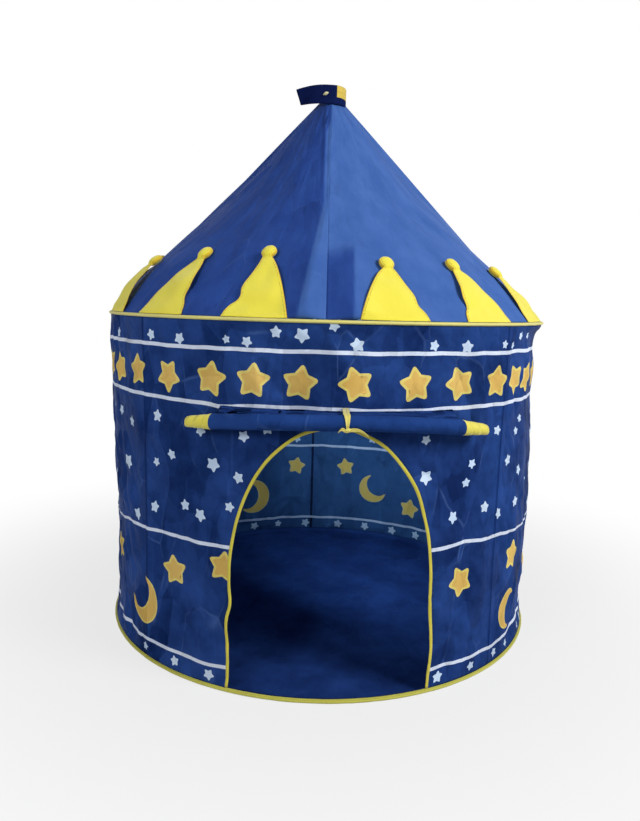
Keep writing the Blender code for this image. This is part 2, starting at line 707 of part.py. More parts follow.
def make_door_tie(parent):
    """A ribbon from the wall over the front of the roll to a knot, with its tails hanging."""
    around_roll = ROLL_RADIUS + GAP + TIE_THICKNESS / 2
    seam_height = FLAP_SEAM_HEIGHT + TIE_SEAM_RISE
    seam = wall_radius(ROLL_AZIMUTH, seam_height) + FABRIC / 2 + GAP + TIE_THICKNESS / 2
    rows = [(seam, seam_height, TIE_WIDTH, TIE_THICKNESS)]
    for angle in TIE_ANGLES:
        r = ROLL_CIRCLE + around_roll * cos(angle)
        rows.append((r, ROLL_HEIGHT + around_roll * sin(angle), TIE_WIDTH, TIE_THICKNESS))
    front = ROLL_CIRCLE + around_roll
    for i, (share, width_share) in enumerate(KNOT_SHARES + TAIL_SHARES):
        in_knot = 0 < i < len(KNOT_SHARES)
        thickness = TIE_KNOT_THICKNESS if in_knot else TIE_THICKNESS
        proud = (thickness - TIE_THICKNESS) / 2
        rows.append((front + proud, ROLL_HEIGHT - TIE_TAIL * share, TIE_WIDTH * width_share, thickness))
    sections = []
    for i, (r, z, width, thickness) in enumerate(rows):
        before = Vector(rows[max(i - 1, 0)][:2])
        after = Vector(rows[min(i + 1, len(rows) - 1)][:2])
        along = (after - before).normalized()
        if z < ROLL_HEIGHT:
            along = Vector((0, -1))
        outward = Vector((-along.y, along.x)) * thickness / 2
        section = []
        for side, half_width in ((1, width / 2), (-1, width / 2), (-1, -width / 2), (1, -width / 2)):
            place = at(ROLL_AZIMUTH, r + side * outward.x, z + side * outward.y)
            section.append(place + at(ROLL_AZIMUTH + pi / 2, half_width, 0))
        sections.append(section)
    add_object("door_tie", loft(sections), "ribbon", parent=parent)


def make_door():
    carrier = group("door_flap_carrier", at(ROLL_AZIMUTH, ROLL_CIRCLE, FLAP_SEAM_HEIGHT))
    make_flap_strip(carrier)
    make_door_tie(carrier)
    roll = group("door_roll_slide", at(ROLL_AZIMUTH, ROLL_CIRCLE, ROLL_HEIGHT))
    make_door_roll(roll)


def make_roof(canopy):
    quarter = FULL_TURN / GORES
    gore_names = ("front_right", "back_right", "back_left", "front_left")
    rod_names = ("front", "right", "back", "left")
    for i in range(GORES):
        make_roof_gore(f"roof_gore_{gore_names[i]}", quarter * i, quarter * (i + 1), canopy)
        make_roof_rod(f"roof_rod_{rod_names[i]}", quarter * i, canopy)
    make_apex_hub(canopy)
    make_apex_cap(canopy)
    make_apex_flag(canopy)


def build():
    clear_scene()
    make_hoop("base_hoop", BINDING_RADIUS)
    make_hoop_binding("base_binding", BINDING_RADIUS, "base_tape")
    make_groundsheet()
    make_walls()
    make_door_binding()
    canopy = group("canopy", (0, 0, EAVE_HEIGHT))
    make_hoop("eave_hoop", EAVE_HEIGHT, canopy)
    make_hoop_binding("eave_binding", EAVE_HEIGHT, "eave_tape", canopy)
    make_roof(canopy)
    make_crown_points(canopy)
    make_poles(canopy)
    make_door()


build()
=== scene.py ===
"""Looks of a round play tent with a printed wall, crown points and a rolled door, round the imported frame."""

import json
from math import atan2, ceil, cos, degrees, exp, hypot, pi, radians, sin, sqrt
from random import Random

import bmesh
import bpy
from mathutils import Matrix, Vector, noise
from mathutils.geometry import delaunay_2d_cdt


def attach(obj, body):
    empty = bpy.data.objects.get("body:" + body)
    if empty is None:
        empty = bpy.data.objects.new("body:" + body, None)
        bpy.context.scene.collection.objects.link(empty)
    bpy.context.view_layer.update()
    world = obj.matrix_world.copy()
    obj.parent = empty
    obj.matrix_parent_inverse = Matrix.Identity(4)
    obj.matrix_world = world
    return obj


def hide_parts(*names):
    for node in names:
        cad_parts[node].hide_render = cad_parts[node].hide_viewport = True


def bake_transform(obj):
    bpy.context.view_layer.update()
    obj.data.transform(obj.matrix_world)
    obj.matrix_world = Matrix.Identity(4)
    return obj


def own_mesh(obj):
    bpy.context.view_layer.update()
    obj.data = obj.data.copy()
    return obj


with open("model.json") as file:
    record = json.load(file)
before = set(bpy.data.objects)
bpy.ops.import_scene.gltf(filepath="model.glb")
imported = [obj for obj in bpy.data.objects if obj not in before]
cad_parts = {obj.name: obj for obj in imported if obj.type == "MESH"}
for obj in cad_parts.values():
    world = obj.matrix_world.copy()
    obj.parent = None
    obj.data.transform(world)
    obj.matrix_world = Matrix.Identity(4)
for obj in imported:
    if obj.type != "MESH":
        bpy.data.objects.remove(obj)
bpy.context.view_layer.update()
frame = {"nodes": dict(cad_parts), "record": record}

# The tent's sizes, in metres, as the CAD part has them
HOOP_RADIUS = 0.552
EAVE_HEIGHT = 0.783
TIP_HEIGHT = 1.355
FABRIC = 0.001
GAP = 0.0003
BINDING_RADIUS = 0.005
WAIST_AT_POLE = 0.004
WAIST_BETWEEN_POLES = 0.010
DOOR_HALF_WIDTH = 0.2227
DOOR_HEIGHT = 0.580
DOOR_SPRING_HEIGHT = 0.250
DOOR_TAPE_WIDTH = 0.0072
DOOR_BINDING_THICKNESS = 0.003
ROLL_RADIUS = 0.0165
ROLL_ABOVE_DOOR = 0.012
ROLL_LENGTH = 0.515
ROLL_DROOP = 0.024
ROLL_END_LENGTH = 0.062
FLAP_SEAM_RISE = 0.0025
TIE_WIDTH = 0.013
ROD_RADIUS = 0.004
ROOF_OPENING_RADIUS = 0.012
CAP_SLANT = 0.045
CAP_TOP_RADIUS = 0.006
FLAG_ABOVE_TIP = 0.015
FLAG_LOOP_HALF_WIDTH = 0.036
FLAG_LENGTH = 0.090
CROWN_WIDTH = 0.143
CROWN_LENGTH = 0.172
CROWN_SEAM_RISE = 0.0024
SEGMENTS_PER_TURN = 224
POLES = 4
CROWN_POINTS = 14
QUARTER = pi / 2
FULL_TURN = 2 * pi
FIRST_POLE_AZIMUTH = radians(45)
DOOR_AZIMUTH = radians(2.6)
ROLL_AZIMUTH = radians(4.5)
BACK_SEAM_AZIMUTH = radians(183.2)
FLAT_SHARE = 0.45
FLAT_FROM_SHARE = 0.15
FLAT_OVER_SHARE = 0.45
CLOTH_INTO_EAVE_SHARE = 0.7
CLOTH_INTO_BASE_SHARE = 0.3

# Sizes that follow. The wall's cloth reaches past its CAD solid to the flatter tapes
WALL_BOTTOM = 2 * BINDING_RADIUS + GAP
WALL_TOP = EAVE_HEIGHT - BINDING_RADIUS - GAP
CLOTH_TOP = EAVE_HEIGHT - BINDING_RADIUS * CLOTH_INTO_EAVE_SHARE
CLOTH_BOTTOM = WALL_BOTTOM - BINDING_RADIUS * CLOTH_INTO_BASE_SHARE
ROLL_HEIGHT = DOOR_HEIGHT + ROLL_ABOVE_DOOR
FLAP_SEAM_HEIGHT = ROLL_HEIGHT + ROLL_RADIUS + FLAP_SEAM_RISE
FLAG_TOP = TIP_HEIGHT + FLAG_ABOVE_TIP
CROWN_ABOVE_HOOP = BINDING_RADIUS + CROWN_SEAM_RISE
ROOF_RISE = TIP_HEIGHT - EAVE_HEIGHT
ROOF_SLANT = hypot(HOOP_RADIUS, ROOF_RISE)
SLOPE = Vector((-HOOP_RADIUS / ROOF_SLANT, ROOF_RISE / ROOF_SLANT))
SLOPE_NORMAL = Vector((ROOF_RISE / ROOF_SLANT, HOOP_RADIUS / ROOF_SLANT))
SHEET_RADIUS = HOOP_RADIUS - BINDING_RADIUS - GAP
ROLL_CIRCLE = HOOP_RADIUS + BINDING_RADIUS + GAP + FABRIC + GAP + ROLL_RADIUS

# How finely the cloth is modelled, and its thickness
CLOTH = 0.0006
CLOTH_STEP = 0.006
ROOF_STEP = 0.005
DOOR_EDGE_STEPS = 96
CROWN_STEP = 0.005
CROWN_BALL_STEP = 0.0022
CAP_STEP = 0.003
CAP_COLUMNS = 48
FLOOR_COLUMNS = 200
FLOOR_RIM_ROWS = 7
FLOOR_STEP = 0.0085
FLOOR_MIDDLE_RADIUS = 0.02
MERGE_DISTANCE = 1e-6

# Print on the wall: lines by their height, then motifs
LINE_WIDTH = 0.008
LINE_HEIGHTS = (0.051, 0.316, 0.614, 0.7245)
BIG_STAR_HEIGHT = 0.663
BIG_STAR_RADIUS = 0.040
BIG_STAR_LIFT = 0.003
BIG_STAR_TURN = radians(75)
BIG_STARS_ROUND_BACK = 22
GOLD_STAR_RADIUS = 0.039
MOON_RADIUS = 0.050
GOLD_EDGE_SHARE = 0.76
CRESCENT_REACH_DEGREES = 124
CRESCENT_THICK_SHARE = 0.68
CRESCENT_INNER_SHARE = 0.93
CRESCENT_INNER_THIN = 0.10
STAR_PLUMP_SHARE = 0.575
STAR_BLUNT_SHARE = 0.30
SMALL_STAR_RADIUS = 0.021
SMALL_STAR_MARGIN = 0.004
SMALL_STAR_SPACING = 0.042
TOP_STAR_SPACING = 0.034
SMALL_STAR_SHARES = (0.62, 0.95)
SEAM_WIDTH = 0.008
PRINT_SEED = 23

# Camera that took the photograph, fitted to the hoops and the printed lines, and its lens in whole pixels
CAMERA_PLACE = (0.0, -1.869, 0.817)
CAMERA_YAW = -0.005
CAMERA_PITCH = 0.154
CAMERA_ROLL = 0.026
CAMERA_LENS_MM = 30.26
SENSOR_MM = 36.0
PHOTO_WIDTH = 640
PHOTO_HEIGHT = 821
PHOTO_FOCAL = round(CAMERA_LENS_MM / SENSOR_MM * PHOTO_HEIGHT)

# Digits of a metre that places and radii looked up in the photograph are rounded to
PLACE_DIGITS = 3
RADIUS_DIGITS = 4

# Middles of the big stars in the photograph, read off in pixels across and down, from left to right. A
# third value is an azimuth that was set instead. The radius is the wall's where they are
BIG_STARS_AT_RADIUS = 0.546
BIG_STAR_PIXELS = (
    (122.4, 356), (139.4, 362), (169.4, 375), (211.4, 378), (253, 382), (300, 382), (356.4, 382), (415.6, 387),
    (459.4, 386), (497, 384, radians(42)), (515, 382), (525.4, 376, radians(58)),
)

# Pale stars on the near side, as read off: pixels across and down, and the radius in pixels. A fourth value is
# a height on the wall in metres. It and the radius 7.45 were set, to keep the stars clear of the lines
# and of the floor's tape. The other pale stars are strewn at random
SMALL_STARS_REACH = radians(72)
SMALL_STARS_AT_RADIUS = 0.545
SMALL_STAR_PIXELS = (
    # Top band
    (122.6, 333.6, 6, 0.740), (152.8, 334.2, 6.5), (181.4, 338.2, 7), (227.7, 339.1, 5),
    (247.4, 344.5, 6.5, 0.740), (276.5, 331.8, 7), (302.5, 335, 9), (334, 326, 6.5), (357.5, 346, 8.5, 0.740),
    (433, 346, 6.5), (465.5, 346, 7.5), (502.5, 344, 5), (511, 347.5, 4.5, 0.738), (519, 336, 5),
    (527, 335, 4),
    # Middle band, left of the door
    (118, 404.5, 5), (124, 409, 6), (134.6, 420.5, 6.5), (158.3, 415.5, 7.5), (201.4, 430, 7), (244.6, 436, 7),
    (266.8, 429, 7.5), (131, 460, 8.5), (155.9, 461.8, 5.5), (171.7, 454.5, 6.5), (212.3, 464.5, 9),
    (238, 477.6, 7.5), (119, 467, 5), (155.5, 505, 7), (184.5, 504.5, 7), (200.8, 514.5, 8.5),
    (228.6, 507.3, 6.5), (138.6, 518.2, 8, 0.341),
    # Middle band, right of the door
    (425.8, 440, 6), (426, 478, 9), (496, 430, 6), (516, 431, 5), (520, 418, 5), (472.5, 463.8, 6),
    (467.5, 483, 6), (507, 460, 7), (516.8, 468, 6), (483.3, 506, 7), (497, 512, 7), (454.5, 517.5, 8),
    (513, 496, 6), (524.5, 475, 6),
    # Ground band
    (148.3, 640, 5.5, 0.030), (175.7, 657.3, 6.5, 0.029), (210, 675, 7.5, 0.028), (435, 677.5, 7.45, 0.028),
    (467.5, 669, 6, 0.028), (490.8, 656, 6, 0.029), (502, 651, 5, 0.028), (514, 627.5, 5, 0.028),
)

# Gold motifs of the low band: kind, azimuth, height, turn and size against the usual
LOW_MOTIFS = (
    ("star", radians(-35.2), 0.237, radians(8), 1.0),
    ("moon", radians(-47.0), 0.141, radians(-47), 1.17),
    ("star", radians(-21.5), 0.272, radians(-8), 1.0),
    ("star", radians(-62), 0.225, radians(20), 1.0),
    ("star", radians(33.8), 0.233, radians(24), 0.95),
    ("star", radians(55.5), 0.246, radians(-12), 1.12),
    ("moon", radians(54.5), 0.114, radians(162), 0.96),
    ("star", radians(77), 0.150, radians(5), 1.0),
    ("moon", radians(97), 0.205, radians(20), 1.0),
    ("star", radians(116), 0.120, radians(-12), 1.0),
    ("star", radians(145.9), 0.118, radians(10), 1.0),
    ("moon", radians(160.4), 0.171, radians(-42), 1.0),
    ("star", radians(171), 0.243, radians(-10), 0.9),
    ("star", radians(189.6), 0.243, radians(10), 0.9),
    ("moon", radians(206), 0.137, radians(188), 1.2),
    ("star", radians(233), 0.225, radians(6), 1.0),
    ("moon", radians(252), 0.140, radians(170), 1.0),
    ("star", radians(271), 0.230, radians(-14), 1.0),
    ("star", radians(290), 0.120, radians(9), 1.0),
)

# Slow dents and bulges of the slack wall: azimuth, height, spread round, spread up and how far out
WALL_SHAPE = (
    (radians(83), 0.735, 0.240, 0.048, -0.019),
    (radians(77), 0.620, 0.250, 0.075, -0.010),
    (radians(80), 0.330, 0.160, 0.100, 0.005),
    (radians(-77), 0.510, 0.280, 0.170, 0.006),
    (radians(-84), 0.690, 0.160, 0.090, 0.004),
    (radians(-68), 0.075, 0.110, 0.050, -0.008),
    (radians(68), 0.075, 0.110, 0.050, -0.008),
    (radians(-33), 0.130, 0.060, 0.120, -0.005),
    (radians(36), 0.160, 0.050, 0.140, 0.004),
    (radians(33), 0.400, 0.045, 0.120, -0.005),
    (radians(-36), 0.430, 0.055, 0.110, -0.004),
    (radians(150), 0.300, 0.100, 0.160, -0.006),
    (radians(205), 0.400, 0.110, 0.150, -0.006),
    (radians(110), 0.450, 0.100, 0.150, -0.006),
    (radians(250), 0.350, 0.120, 0.150, -0.005),
)

# Where the cloth is dragged sideways or down:
# azimuth, height, spread round, spread up, shift round and shift up
WALL_DRAG = (
    (radians(27), 0.110, 0.045, 0.060, 0.008, 0.0),
    (radians(-20.5), 0.195, 0.040, 0.022, 0.005, 0.0),
    (radians(-20.5), 0.140, 0.040, 0.040, -0.004, 0.0),
    (radians(-22), 0.610, 0.040, 0.030, 0.0, -0.006),
    (radians(-80), 0.350, 0.240, 0.070, 0.0, -0.038),
    (radians(66), 0.360, 0.130, 0.070, 0.0, -0.028),
    (radians(35), 0.300, 0.060, 0.050, 0.0, 0.006),
    (radians(16), 0.614, 0.120, 0.030, 0.0, -0.003),
    (radians(30), 0.310, 0.070, 0.030, 0.0, -0.003),
    (radians(-49), 0.051, 0.030, 0.020, 0.0, -0.004),
    (radians(47), 0.051, 0.030, 0.020, 0.0, -0.004),
)

# Relief of the cloth
WALL_FOLD_DEPTH = 0.0045
WALL_FOLD_WIDTH = 0.060
WALL_FOLD_HEIGHT = 0.220
WALL_FACET_DEPTH = 0.0110
WALL_FACET_SPREAD = 0.066
WALL_CRUMPLE_DEPTH = 0.0018
WALL_CRUMPLE_SPREAD = 0.027
WALL_CREASE_SLANT = 0.55
WALL_CREASE_CROSS_SLANT = 0.45
WALL_FACET_STRETCH = 1.7
WALL_CRUMPLE_STRETCH = 1.4
WALL_CREASE_MIDDLE = 0.3
WALL_CREASE_PATCH = 0.16
WALL_CREASE_EVEN_SHARE = 0.75
WALL_CREASE_PATCH_SHARE = 0.9
WALL_GATHER_DEPTH = 0.0022
WALL_GATHER_WIDTH = 0.016
WALL_GATHER_REACH = 0.045
LINE_SWAY = 0.0020
LINE_SWAY_WIDTH = 0.045
EDGE_FADE = 0.020
SEAM_RIDGE = 0.0008
ROOF_GATHER_DEPTH = 0.0030
ROOF_GATHER_WIDTH = 0.020
ROOF_GATHER_REACH = 0.110
ROOF_SOFT_DEPTH = 0.0045
ROOF_SOFT_SPREAD = 0.150
ROOF_DRAG_DEPTH = 0.0012
ROOF_DRAG_SPREAD = 0.30
ROOF_TIP_FADE = 0.16
ROOF_ROD_FADE = 0.025
ROOF_LEFT_REACH = 0.7
ROOF_RIGHT_REACH = 0.35
ROOF_LEFT_BULGE = 0.007
ROOF_RIGHT_SAG = 0.004
ROOF_RIGHT_SAG_PLACE = radians(72)
FRONT_FOLD_HEIGHT = 0.0150
FRONT_FOLD_REACH_SHARE = 0.44
FRONT_FOLD_WIDTH = 0.044
FRONT_FOLD_FADE = 0.055
FRONT_CREASE_HEIGHT = 0.0140
FRONT_CREASE_WIDTH = 0.056
FRONT_CREASE_REACH = 0.200
RIDGE_PLEAT_WIDTH = 0.006
RIDGE_PLEAT_HEIGHT = 0.0028
RIDGE_PLEAT_PLACE = 0.014
RIDGE_PLEAT_FADE = 0.04
RIDGE_PLEAT_TOP_SHARE = 0.86
CROWN_STAND_OFF = 0.0065
CROWN_THICKNESS = 0.0026
CROWN_BALL_THICKNESS = 0.0180
CROWN_SOFT_BALL_RADIUS = 0.0168
CROWN_BASE_DROP = 0.0035
CROWN_LIFT_SWING = 0.003
CROWN_LIFT_SPREAD = 0.06
CROWN_WOBBLE = 0.0042
CROWN_WOBBLE_SPREAD_ROUND = 0.045
CROWN_WOBBLE_SPREAD_UP = 0.055
CROWN_SHIFT_DEGREES = (-1.5, 1.5)
CROWN_WIDTH_SHARES = (0.95, 1.02)
CROWN_LENGTH_SHARES = (0.86, 0.98)
CROWN_LEANS = (-0.012, 0.012)
CROWN_WAVINESS_SHARES = (0.4, 0.9)
CROWN_BELLIES = (0.0, 0.006)
CROWN_RIM_WIDTH = 0.0022
CROWN_STITCH_INSET = 0.0046
CROWN_STITCH_HALF_WIDTH = 0.0006
CROWN_ACROSS_SHARES = (-1.0, -0.97, -0.9, -0.75, -0.5, -0.25, 0.0, 0.25, 0.5, 0.75, 0.9, 0.97, 1.0)
FLOOR_WRINKLE = 0.0020
FLOOR_FRONT_FOLD = 0.0050
FLOOR_BROAD_SPREADS = (0.11, 0.05)
FLOOR_FINE_SPREADS = (0.045, 0.10)
FLOOR_FOLD_LENGTHS = (0.16, 0.20)
FLOOR_FOLD_WIDTHS = (0.040, 0.30)
FLOOR_FRONT_PLACE = -0.40
FLOOR_FRONT_SPREAD = 0.11
FLOOR_RIM_INSET = 0.012
FLOOR_RIM_FADE = 0.03
FLOOR_OVER_TAPE = 1.12
FLOOR_RIM_TURN = radians(76)
ROLL_DENT = 0.0014
ROLL_DENT_SPREAD = 0.050
ROLL_DENT_FADE = 0.03
ROLL_TURNS = 8
ROLL_PITCH = 0.00144
ROLL_HEM = 0.004
ROLL_SOFT_TIP_RADIUS = 0.0128
ROLL_SHIFT = -0.012
ROLL_LEFT_DROOP_SHARE = 0.62
ROLL_LEFT_END_SHARE = 0.88
STRIP_STEP_SHARE = 0.60
STRIP_INTO_ROLL_SHARE = 0.60
STRAP_DROP = 0.0145
STRAP_TOP = FLAG_TOP - STRAP_DROP
STRAP_WIDTH = 0.045
STRAP_BOTTOM = STRAP_TOP - STRAP_WIDTH
STRIP_INSET = 0.002
STRIP_FOLD = 0.0015
FLAP_LENGTH = 0.54
TIE_SEAM_RISE = 0.004
TIE_START_DEGREES = 112
TIE_STEP = 0.004
TIE_GATHER_SHARE = 0.62
TIE_TWIST = radians(70)
TIE_KNOT_DEGREES = 38
TIE_KNOT_LENGTH = 0.016
TIE_KNOT_RADIUS = 0.0042
TIE_CRIMP = 0.0008
TIE_TAIL_WIDTH = 0.007
TIE_TAIL_BOW = 0.003

# Tails of the tie: name, side, length and drop
TIE_TAILS = (("door_tie_tail_left", -1, 0.012, 0.004), ("door_tie_tail_right", 1, 0.036, 0.012))

# The tip strap, the tapes round the edges and their stitches
STRAP_FREE_STEPS = 20
STRAP_LOOP_STEPS = 26
STRAP_DROOP = 0.009
STRAP_BOW = 0.003
STRAP_STEP = 0.005
STRAP_FOLD = 0.0022
STRAP_END_SLANT = 0.012
STRAP_KNOT_PLACE = -0.015
STRAP_KNOT_LENGTH = 0.015
STRAP_KNOT_RADIUS = 0.0036
TAPE_FLATNESS = 0.72
TAPE_SWELL = 0.10
TAPE_STITCH_LINE = 0.0040
DOOR_STITCH_LINE = 0.0072
STRAP_STITCH_LINE = 0.030
CORD_STITCH_LINE = 0.002
HEM_STITCH_LINE = 0.006
RIBBON_STITCH_LINE = 0.0012
STITCH_HALF_WIDTH = 0.0007
STITCH_PERIOD = 0.0042
CAP_TUCK = 0.004
CAP_MEAN_RADIUS = 0.03
DOOR_TAPE_PUCKER = 0.30
DOOR_TAPE_PUCKER_LENGTH = 0.012

# Crown points that the photograph shows, by their number from 0: shift round the eave, width share,
# length share, lean, side of the wavy edge, how wavy it is and how far it bellies out
CROWN_AS_SEWN = {
    0: (radians(1.5), 1.00, 0.87, 0.010, 1, 0.35, 0.0),
    1: (radians(0.0), 0.97, 0.90, -0.009, -1, 0.70, 0.0),
    2: (radians(-1.8), 1.00, 0.84, -0.018, 1, 0.60, 0.002),
    11: (radians(0.8), 1.02, 0.86, 0.004, 1, 0.40, 0.009),
    12: (radians(-1.0), 1.00, 1.01, 0.008, 1, 0.55, 0.0),
    13: (radians(-2.0), 0.96, 1.00, -0.010, -1, 1.00, 0.0),
}
CROWN_WAVY_SHARES = (
    (0.00, 1.00), (0.10, 0.89), (0.17, 0.78), (0.24, 0.58), (0.31, 0.52), (0.43, 0.55), (0.52, 0.50),
    (0.70, 0.33), (0.85, 0.21), (1.00, 0.14),
)

# Lamps: name, place, where it points, size of its disc, power in watts and colour
TENT_MIDDLE = (0.0, 0.0, 0.65)
LAMPS = (
    ("key", (2.9, -1.7, 2.7), TENT_MIDDLE, 1.7, 109.0, (1.0, 1.0, 1.0)),
    ("fill", (-1.8, -2.8, 2.0), TENT_MIDDLE, 1.2, 38.0, (0.98, 0.99, 1.0)),
    ("through_roof", (0.0, 0.05, 0.74), (0.05, 0.3, 0.0), 0.7, 0.5, (0.80, 0.90, 1.0)),
    ("through_wall", (0.02, -0.05, 0.44), (0.42, 0.32, 0.30), 0.12, 2.6, (0.80, 0.95, 1.0)),
)
STAGE_REACH = 30.0
STAGE_FADE = (0.5, 1.6)
STAGE_NEAR_SHARE = 0.74
WORLD_LIGHT = (0.92, 0.95, 1.0, 1.0)
WORLD_STRENGTH = 0.20
WHITE = (1.0, 1.0, 1.0, 1.0)


# Materials

def srgb(red, green, blue):
    """The linear colour of the 0 to 255 values that a screen shows."""
    linear = []
    for value in (red, green, blue):
        share = value / 255
        linear.append(share / 12.92 if share <= 0.04045 else ((share + 0.055) / 1.055) ** 2.4)
    return (*linear, 1.0)


def add_node(tree, kind, inputs, **settings):
    made = tree.nodes.new(kind)
    for key, value in settings.items():
        setattr(made, key, value)
    for key, value in inputs.items():
        if isinstance(value, bpy.types.NodeSocket):
            tree.links.new(value, made.inputs[key])
        else:
            made.inputs[key].default_value = value
    return made


def start_material(name, roughness, sheen=0.0, metallic=0.0, specular=0.35, tint=(1.0, 1.0, 1.0)):
    made = bpy.data.materials.new(name)
    made.use_nodes = True
    shader = made.node_tree.nodes["Principled BSDF"]
    shader.inputs["Roughness"].default_value = roughness
    shader.inputs["Sheen Weight"].default_value = sheen
    shader.inputs["Metallic"].default_value = metallic
    shader.inputs["Specular IOR Level"].default_value = specular
    shader.inputs["Specular Tint"].default_value = (*tint, 1.0)
    return made, made.node_tree, shader


def math_node(tree, operation, *values):
    return add_node(tree, "ShaderNodeMath", dict(enumerate(values)), operation=operation).outputs[0]


def vector_node(tree, operation, *values):
    return add_node(tree, "ShaderNodeVectorMath", dict(enumerate(values)), operation=operation).outputs


def map_range(tree, value, low, high, to_low=0.0, to_high=1.0, **settings):
    inputs = {"Value": value, "From Min": low, "From Max": high, "To Min": to_low, "To Max": to_high}
    return add_node(tree, "ShaderNodeMapRange", inputs, **settings).outputs["Result"]


def blend_colours(tree, factor, first, second):
    """Colour sockets of the Mix node are its 7th and 8th inputs and its 3rd output."""
    return add_node(tree, "ShaderNodeMix", {0: factor, 6: first, 7: second}, data_type="RGBA").outputs[2]


def cloud(tree, coordinates, scale, detail=4.0, roughness=0.55):
    inputs = {"Vector": coordinates, "Scale": scale, "Detail": detail, "Roughness": roughness}
    return add_node(tree, "ShaderNodeTexNoise", inputs).outputs["Fac"]


def uv_socket(tree):
    return add_node(tree, "ShaderNodeTexCoord", {}).outputs["UV"]


def wave(tree, coordinates, period, direction):
    """Straight waves whose period is in metres of the UV map."""
    scale = pi / 10 / period
    inputs = {"Vector": coordinates, "Scale": scale}
    return add_node(tree, "ShaderNodeTexWave", inputs, bands_direction=direction).outputs["Fac"]


def weave(tree, coordinates, pitch):
    across = wave(tree, coordinates, pitch, "X")
    along = wave(tree, coordinates, pitch, "Y")
    return math_node(tree, "MULTIPLY", across, along)


def crumple(tree, coordinates, scale):
    """Creases of a sheet that was packed away: distance from a crease, a painted shade and a tilt for each
    flat.
    """
    bend = add_node(tree, "ShaderNodeTexNoise", {"Vector": coordinates, "Scale": scale, "Detail": 2.0})
    shifted = add_node(
        tree, "ShaderNodeMix", {0: 0.015, 4: coordinates, 5: bend.outputs["Color"]}, data_type="VECTOR"
    ).outputs[1]
    inputs = {"Vector": shifted, "Scale": scale}
    away = add_node(tree, "ShaderNodeTexVoronoi", inputs, feature="DISTANCE_TO_EDGE").outputs["Distance"]
    flat = add_node(tree, "ShaderNodeTexVoronoi", inputs, feature="F1").outputs
    flat_painted_shade = add_node(tree, "ShaderNodeSeparateColor", {"Color": flat["Color"]}).outputs["Red"]
    leaning = vector_node(tree, "SUBTRACT", flat["Color"], (0.5, 0.5, 0.5))["Vector"]
    from_middle = vector_node(tree, "SUBTRACT", shifted, flat["Position"])["Vector"]
    tilt = vector_node(tree, "DOT_PRODUCT", leaning, from_middle)["Value"]
    return math_node(tree, "MINIMUM", away, 0.35), flat_painted_shade, tilt


def bump(tree, shader, heights):
    """A chain of bumps from (height, distance in metres, strength)."""
    inputs = {}
    for height, distance, strength in heights:
        inputs.update({"Height": height, "Distance": distance, "Strength": strength})
        made = add_node(tree, "ShaderNodeBump", inputs)
        inputs = {"Normal": made.outputs["Normal"]}
    tree.links.new(made.outputs["Normal"], shader.inputs["Normal"])


def nylon(name, dark, light, crease_highlight, roughness=0.45, specular=0.006, crease=1.0, painted_shade_colours=None):
    """Thin coated nylon: fine weave, mottling, packing creases, painted shade on flats and painted crease
    highlights.

    A second, darker pair of colours is painted shade, for where the piece's own shade attribute is 1.
    """
    made, tree, shader = start_material(name, roughness, 0.0, 0.0, specular, NYLON_GLOSS)
    uv = uv_socket(tree)
    slant = {"Vector": uv, "Rotation": (0.0, 0.0, radians(34)), "Scale": (1.0, 0.50, 1.0)}
    slanted = add_node(tree, "ShaderNodeMapping", slant).outputs["Vector"]
    large_creases, large_painted_shade, large_tilt = crumple(tree, slanted, 11.0)
    small_creases, small_painted_shade, small_tilt = crumple(tree, slanted, 31.0)
    mottle = map_range(tree, cloud(tree, uv, 8.0, 5.0, 0.62), 0.38, 0.64)
    # Painted shade: each crumpled flat is lighter or darker as if it met the light its own way.
    large_part = math_node(tree, "MULTIPLY", large_painted_shade, 0.65)
    small_part = math_node(tree, "MULTIPLY", small_painted_shade, 0.35)
    painted_facet_shade = math_node(tree, "ADD", large_part, small_part)
    parts = {0: 0.56 * crease, 2: mottle, 3: painted_facet_shade}
    mottle = add_node(tree, "ShaderNodeMix", parts, data_type="FLOAT").outputs[0]
    colour = blend_colours(tree, mottle, dark, light)
    if painted_shade_colours:
        # Painted shade: the darker pair shows where the piece's shade attribute is 1.
        painted_shade = add_node(tree, "ShaderNodeAttribute", {}, attribute_name="painted_shade").outputs["Fac"]
        colour = blend_colours(tree, painted_shade, colour, blend_colours(tree, mottle, *painted_shade_colours))
    # Painted highlight: paler lines along the large creases, in patches, where sharp creases would glint.
    edge = map_range(tree, large_creases, 0.0, 0.020, 1.0, 0.0)
    patch = map_range(tree, cloud(tree, uv, 11.0, 2.0), 0.50, 0.66)
    painted_crease_highlight = math_node(tree, "MULTIPLY", math_node(tree, "MULTIPLY", edge, patch), 0.30 * crease)
    tree.links.new(blend_colours(tree, painted_crease_highlight, colour, crease_highlight), shader.inputs["Base Color"])
    bump(tree, shader, (
        (weave(tree, uv, 0.0011), 0.00008, 0.5),
        (cloud(tree, uv, 60.0), 0.0012, 0.5 * crease),
        (small_creases, 0.0022, 0.6 * crease),
        (large_creases, 0.0070, 0.7 * crease),
        (small_tilt, 0.60, 0.9 * crease),
        (large_tilt, 0.60, 0.9 * crease),
    ))
    return made


def printed(name, dark, light, crease=1.0):
    """Ink on the nylon, a little drier than the cloth round it."""
    return nylon(name, dark, light, light, roughness=0.6, crease=crease)


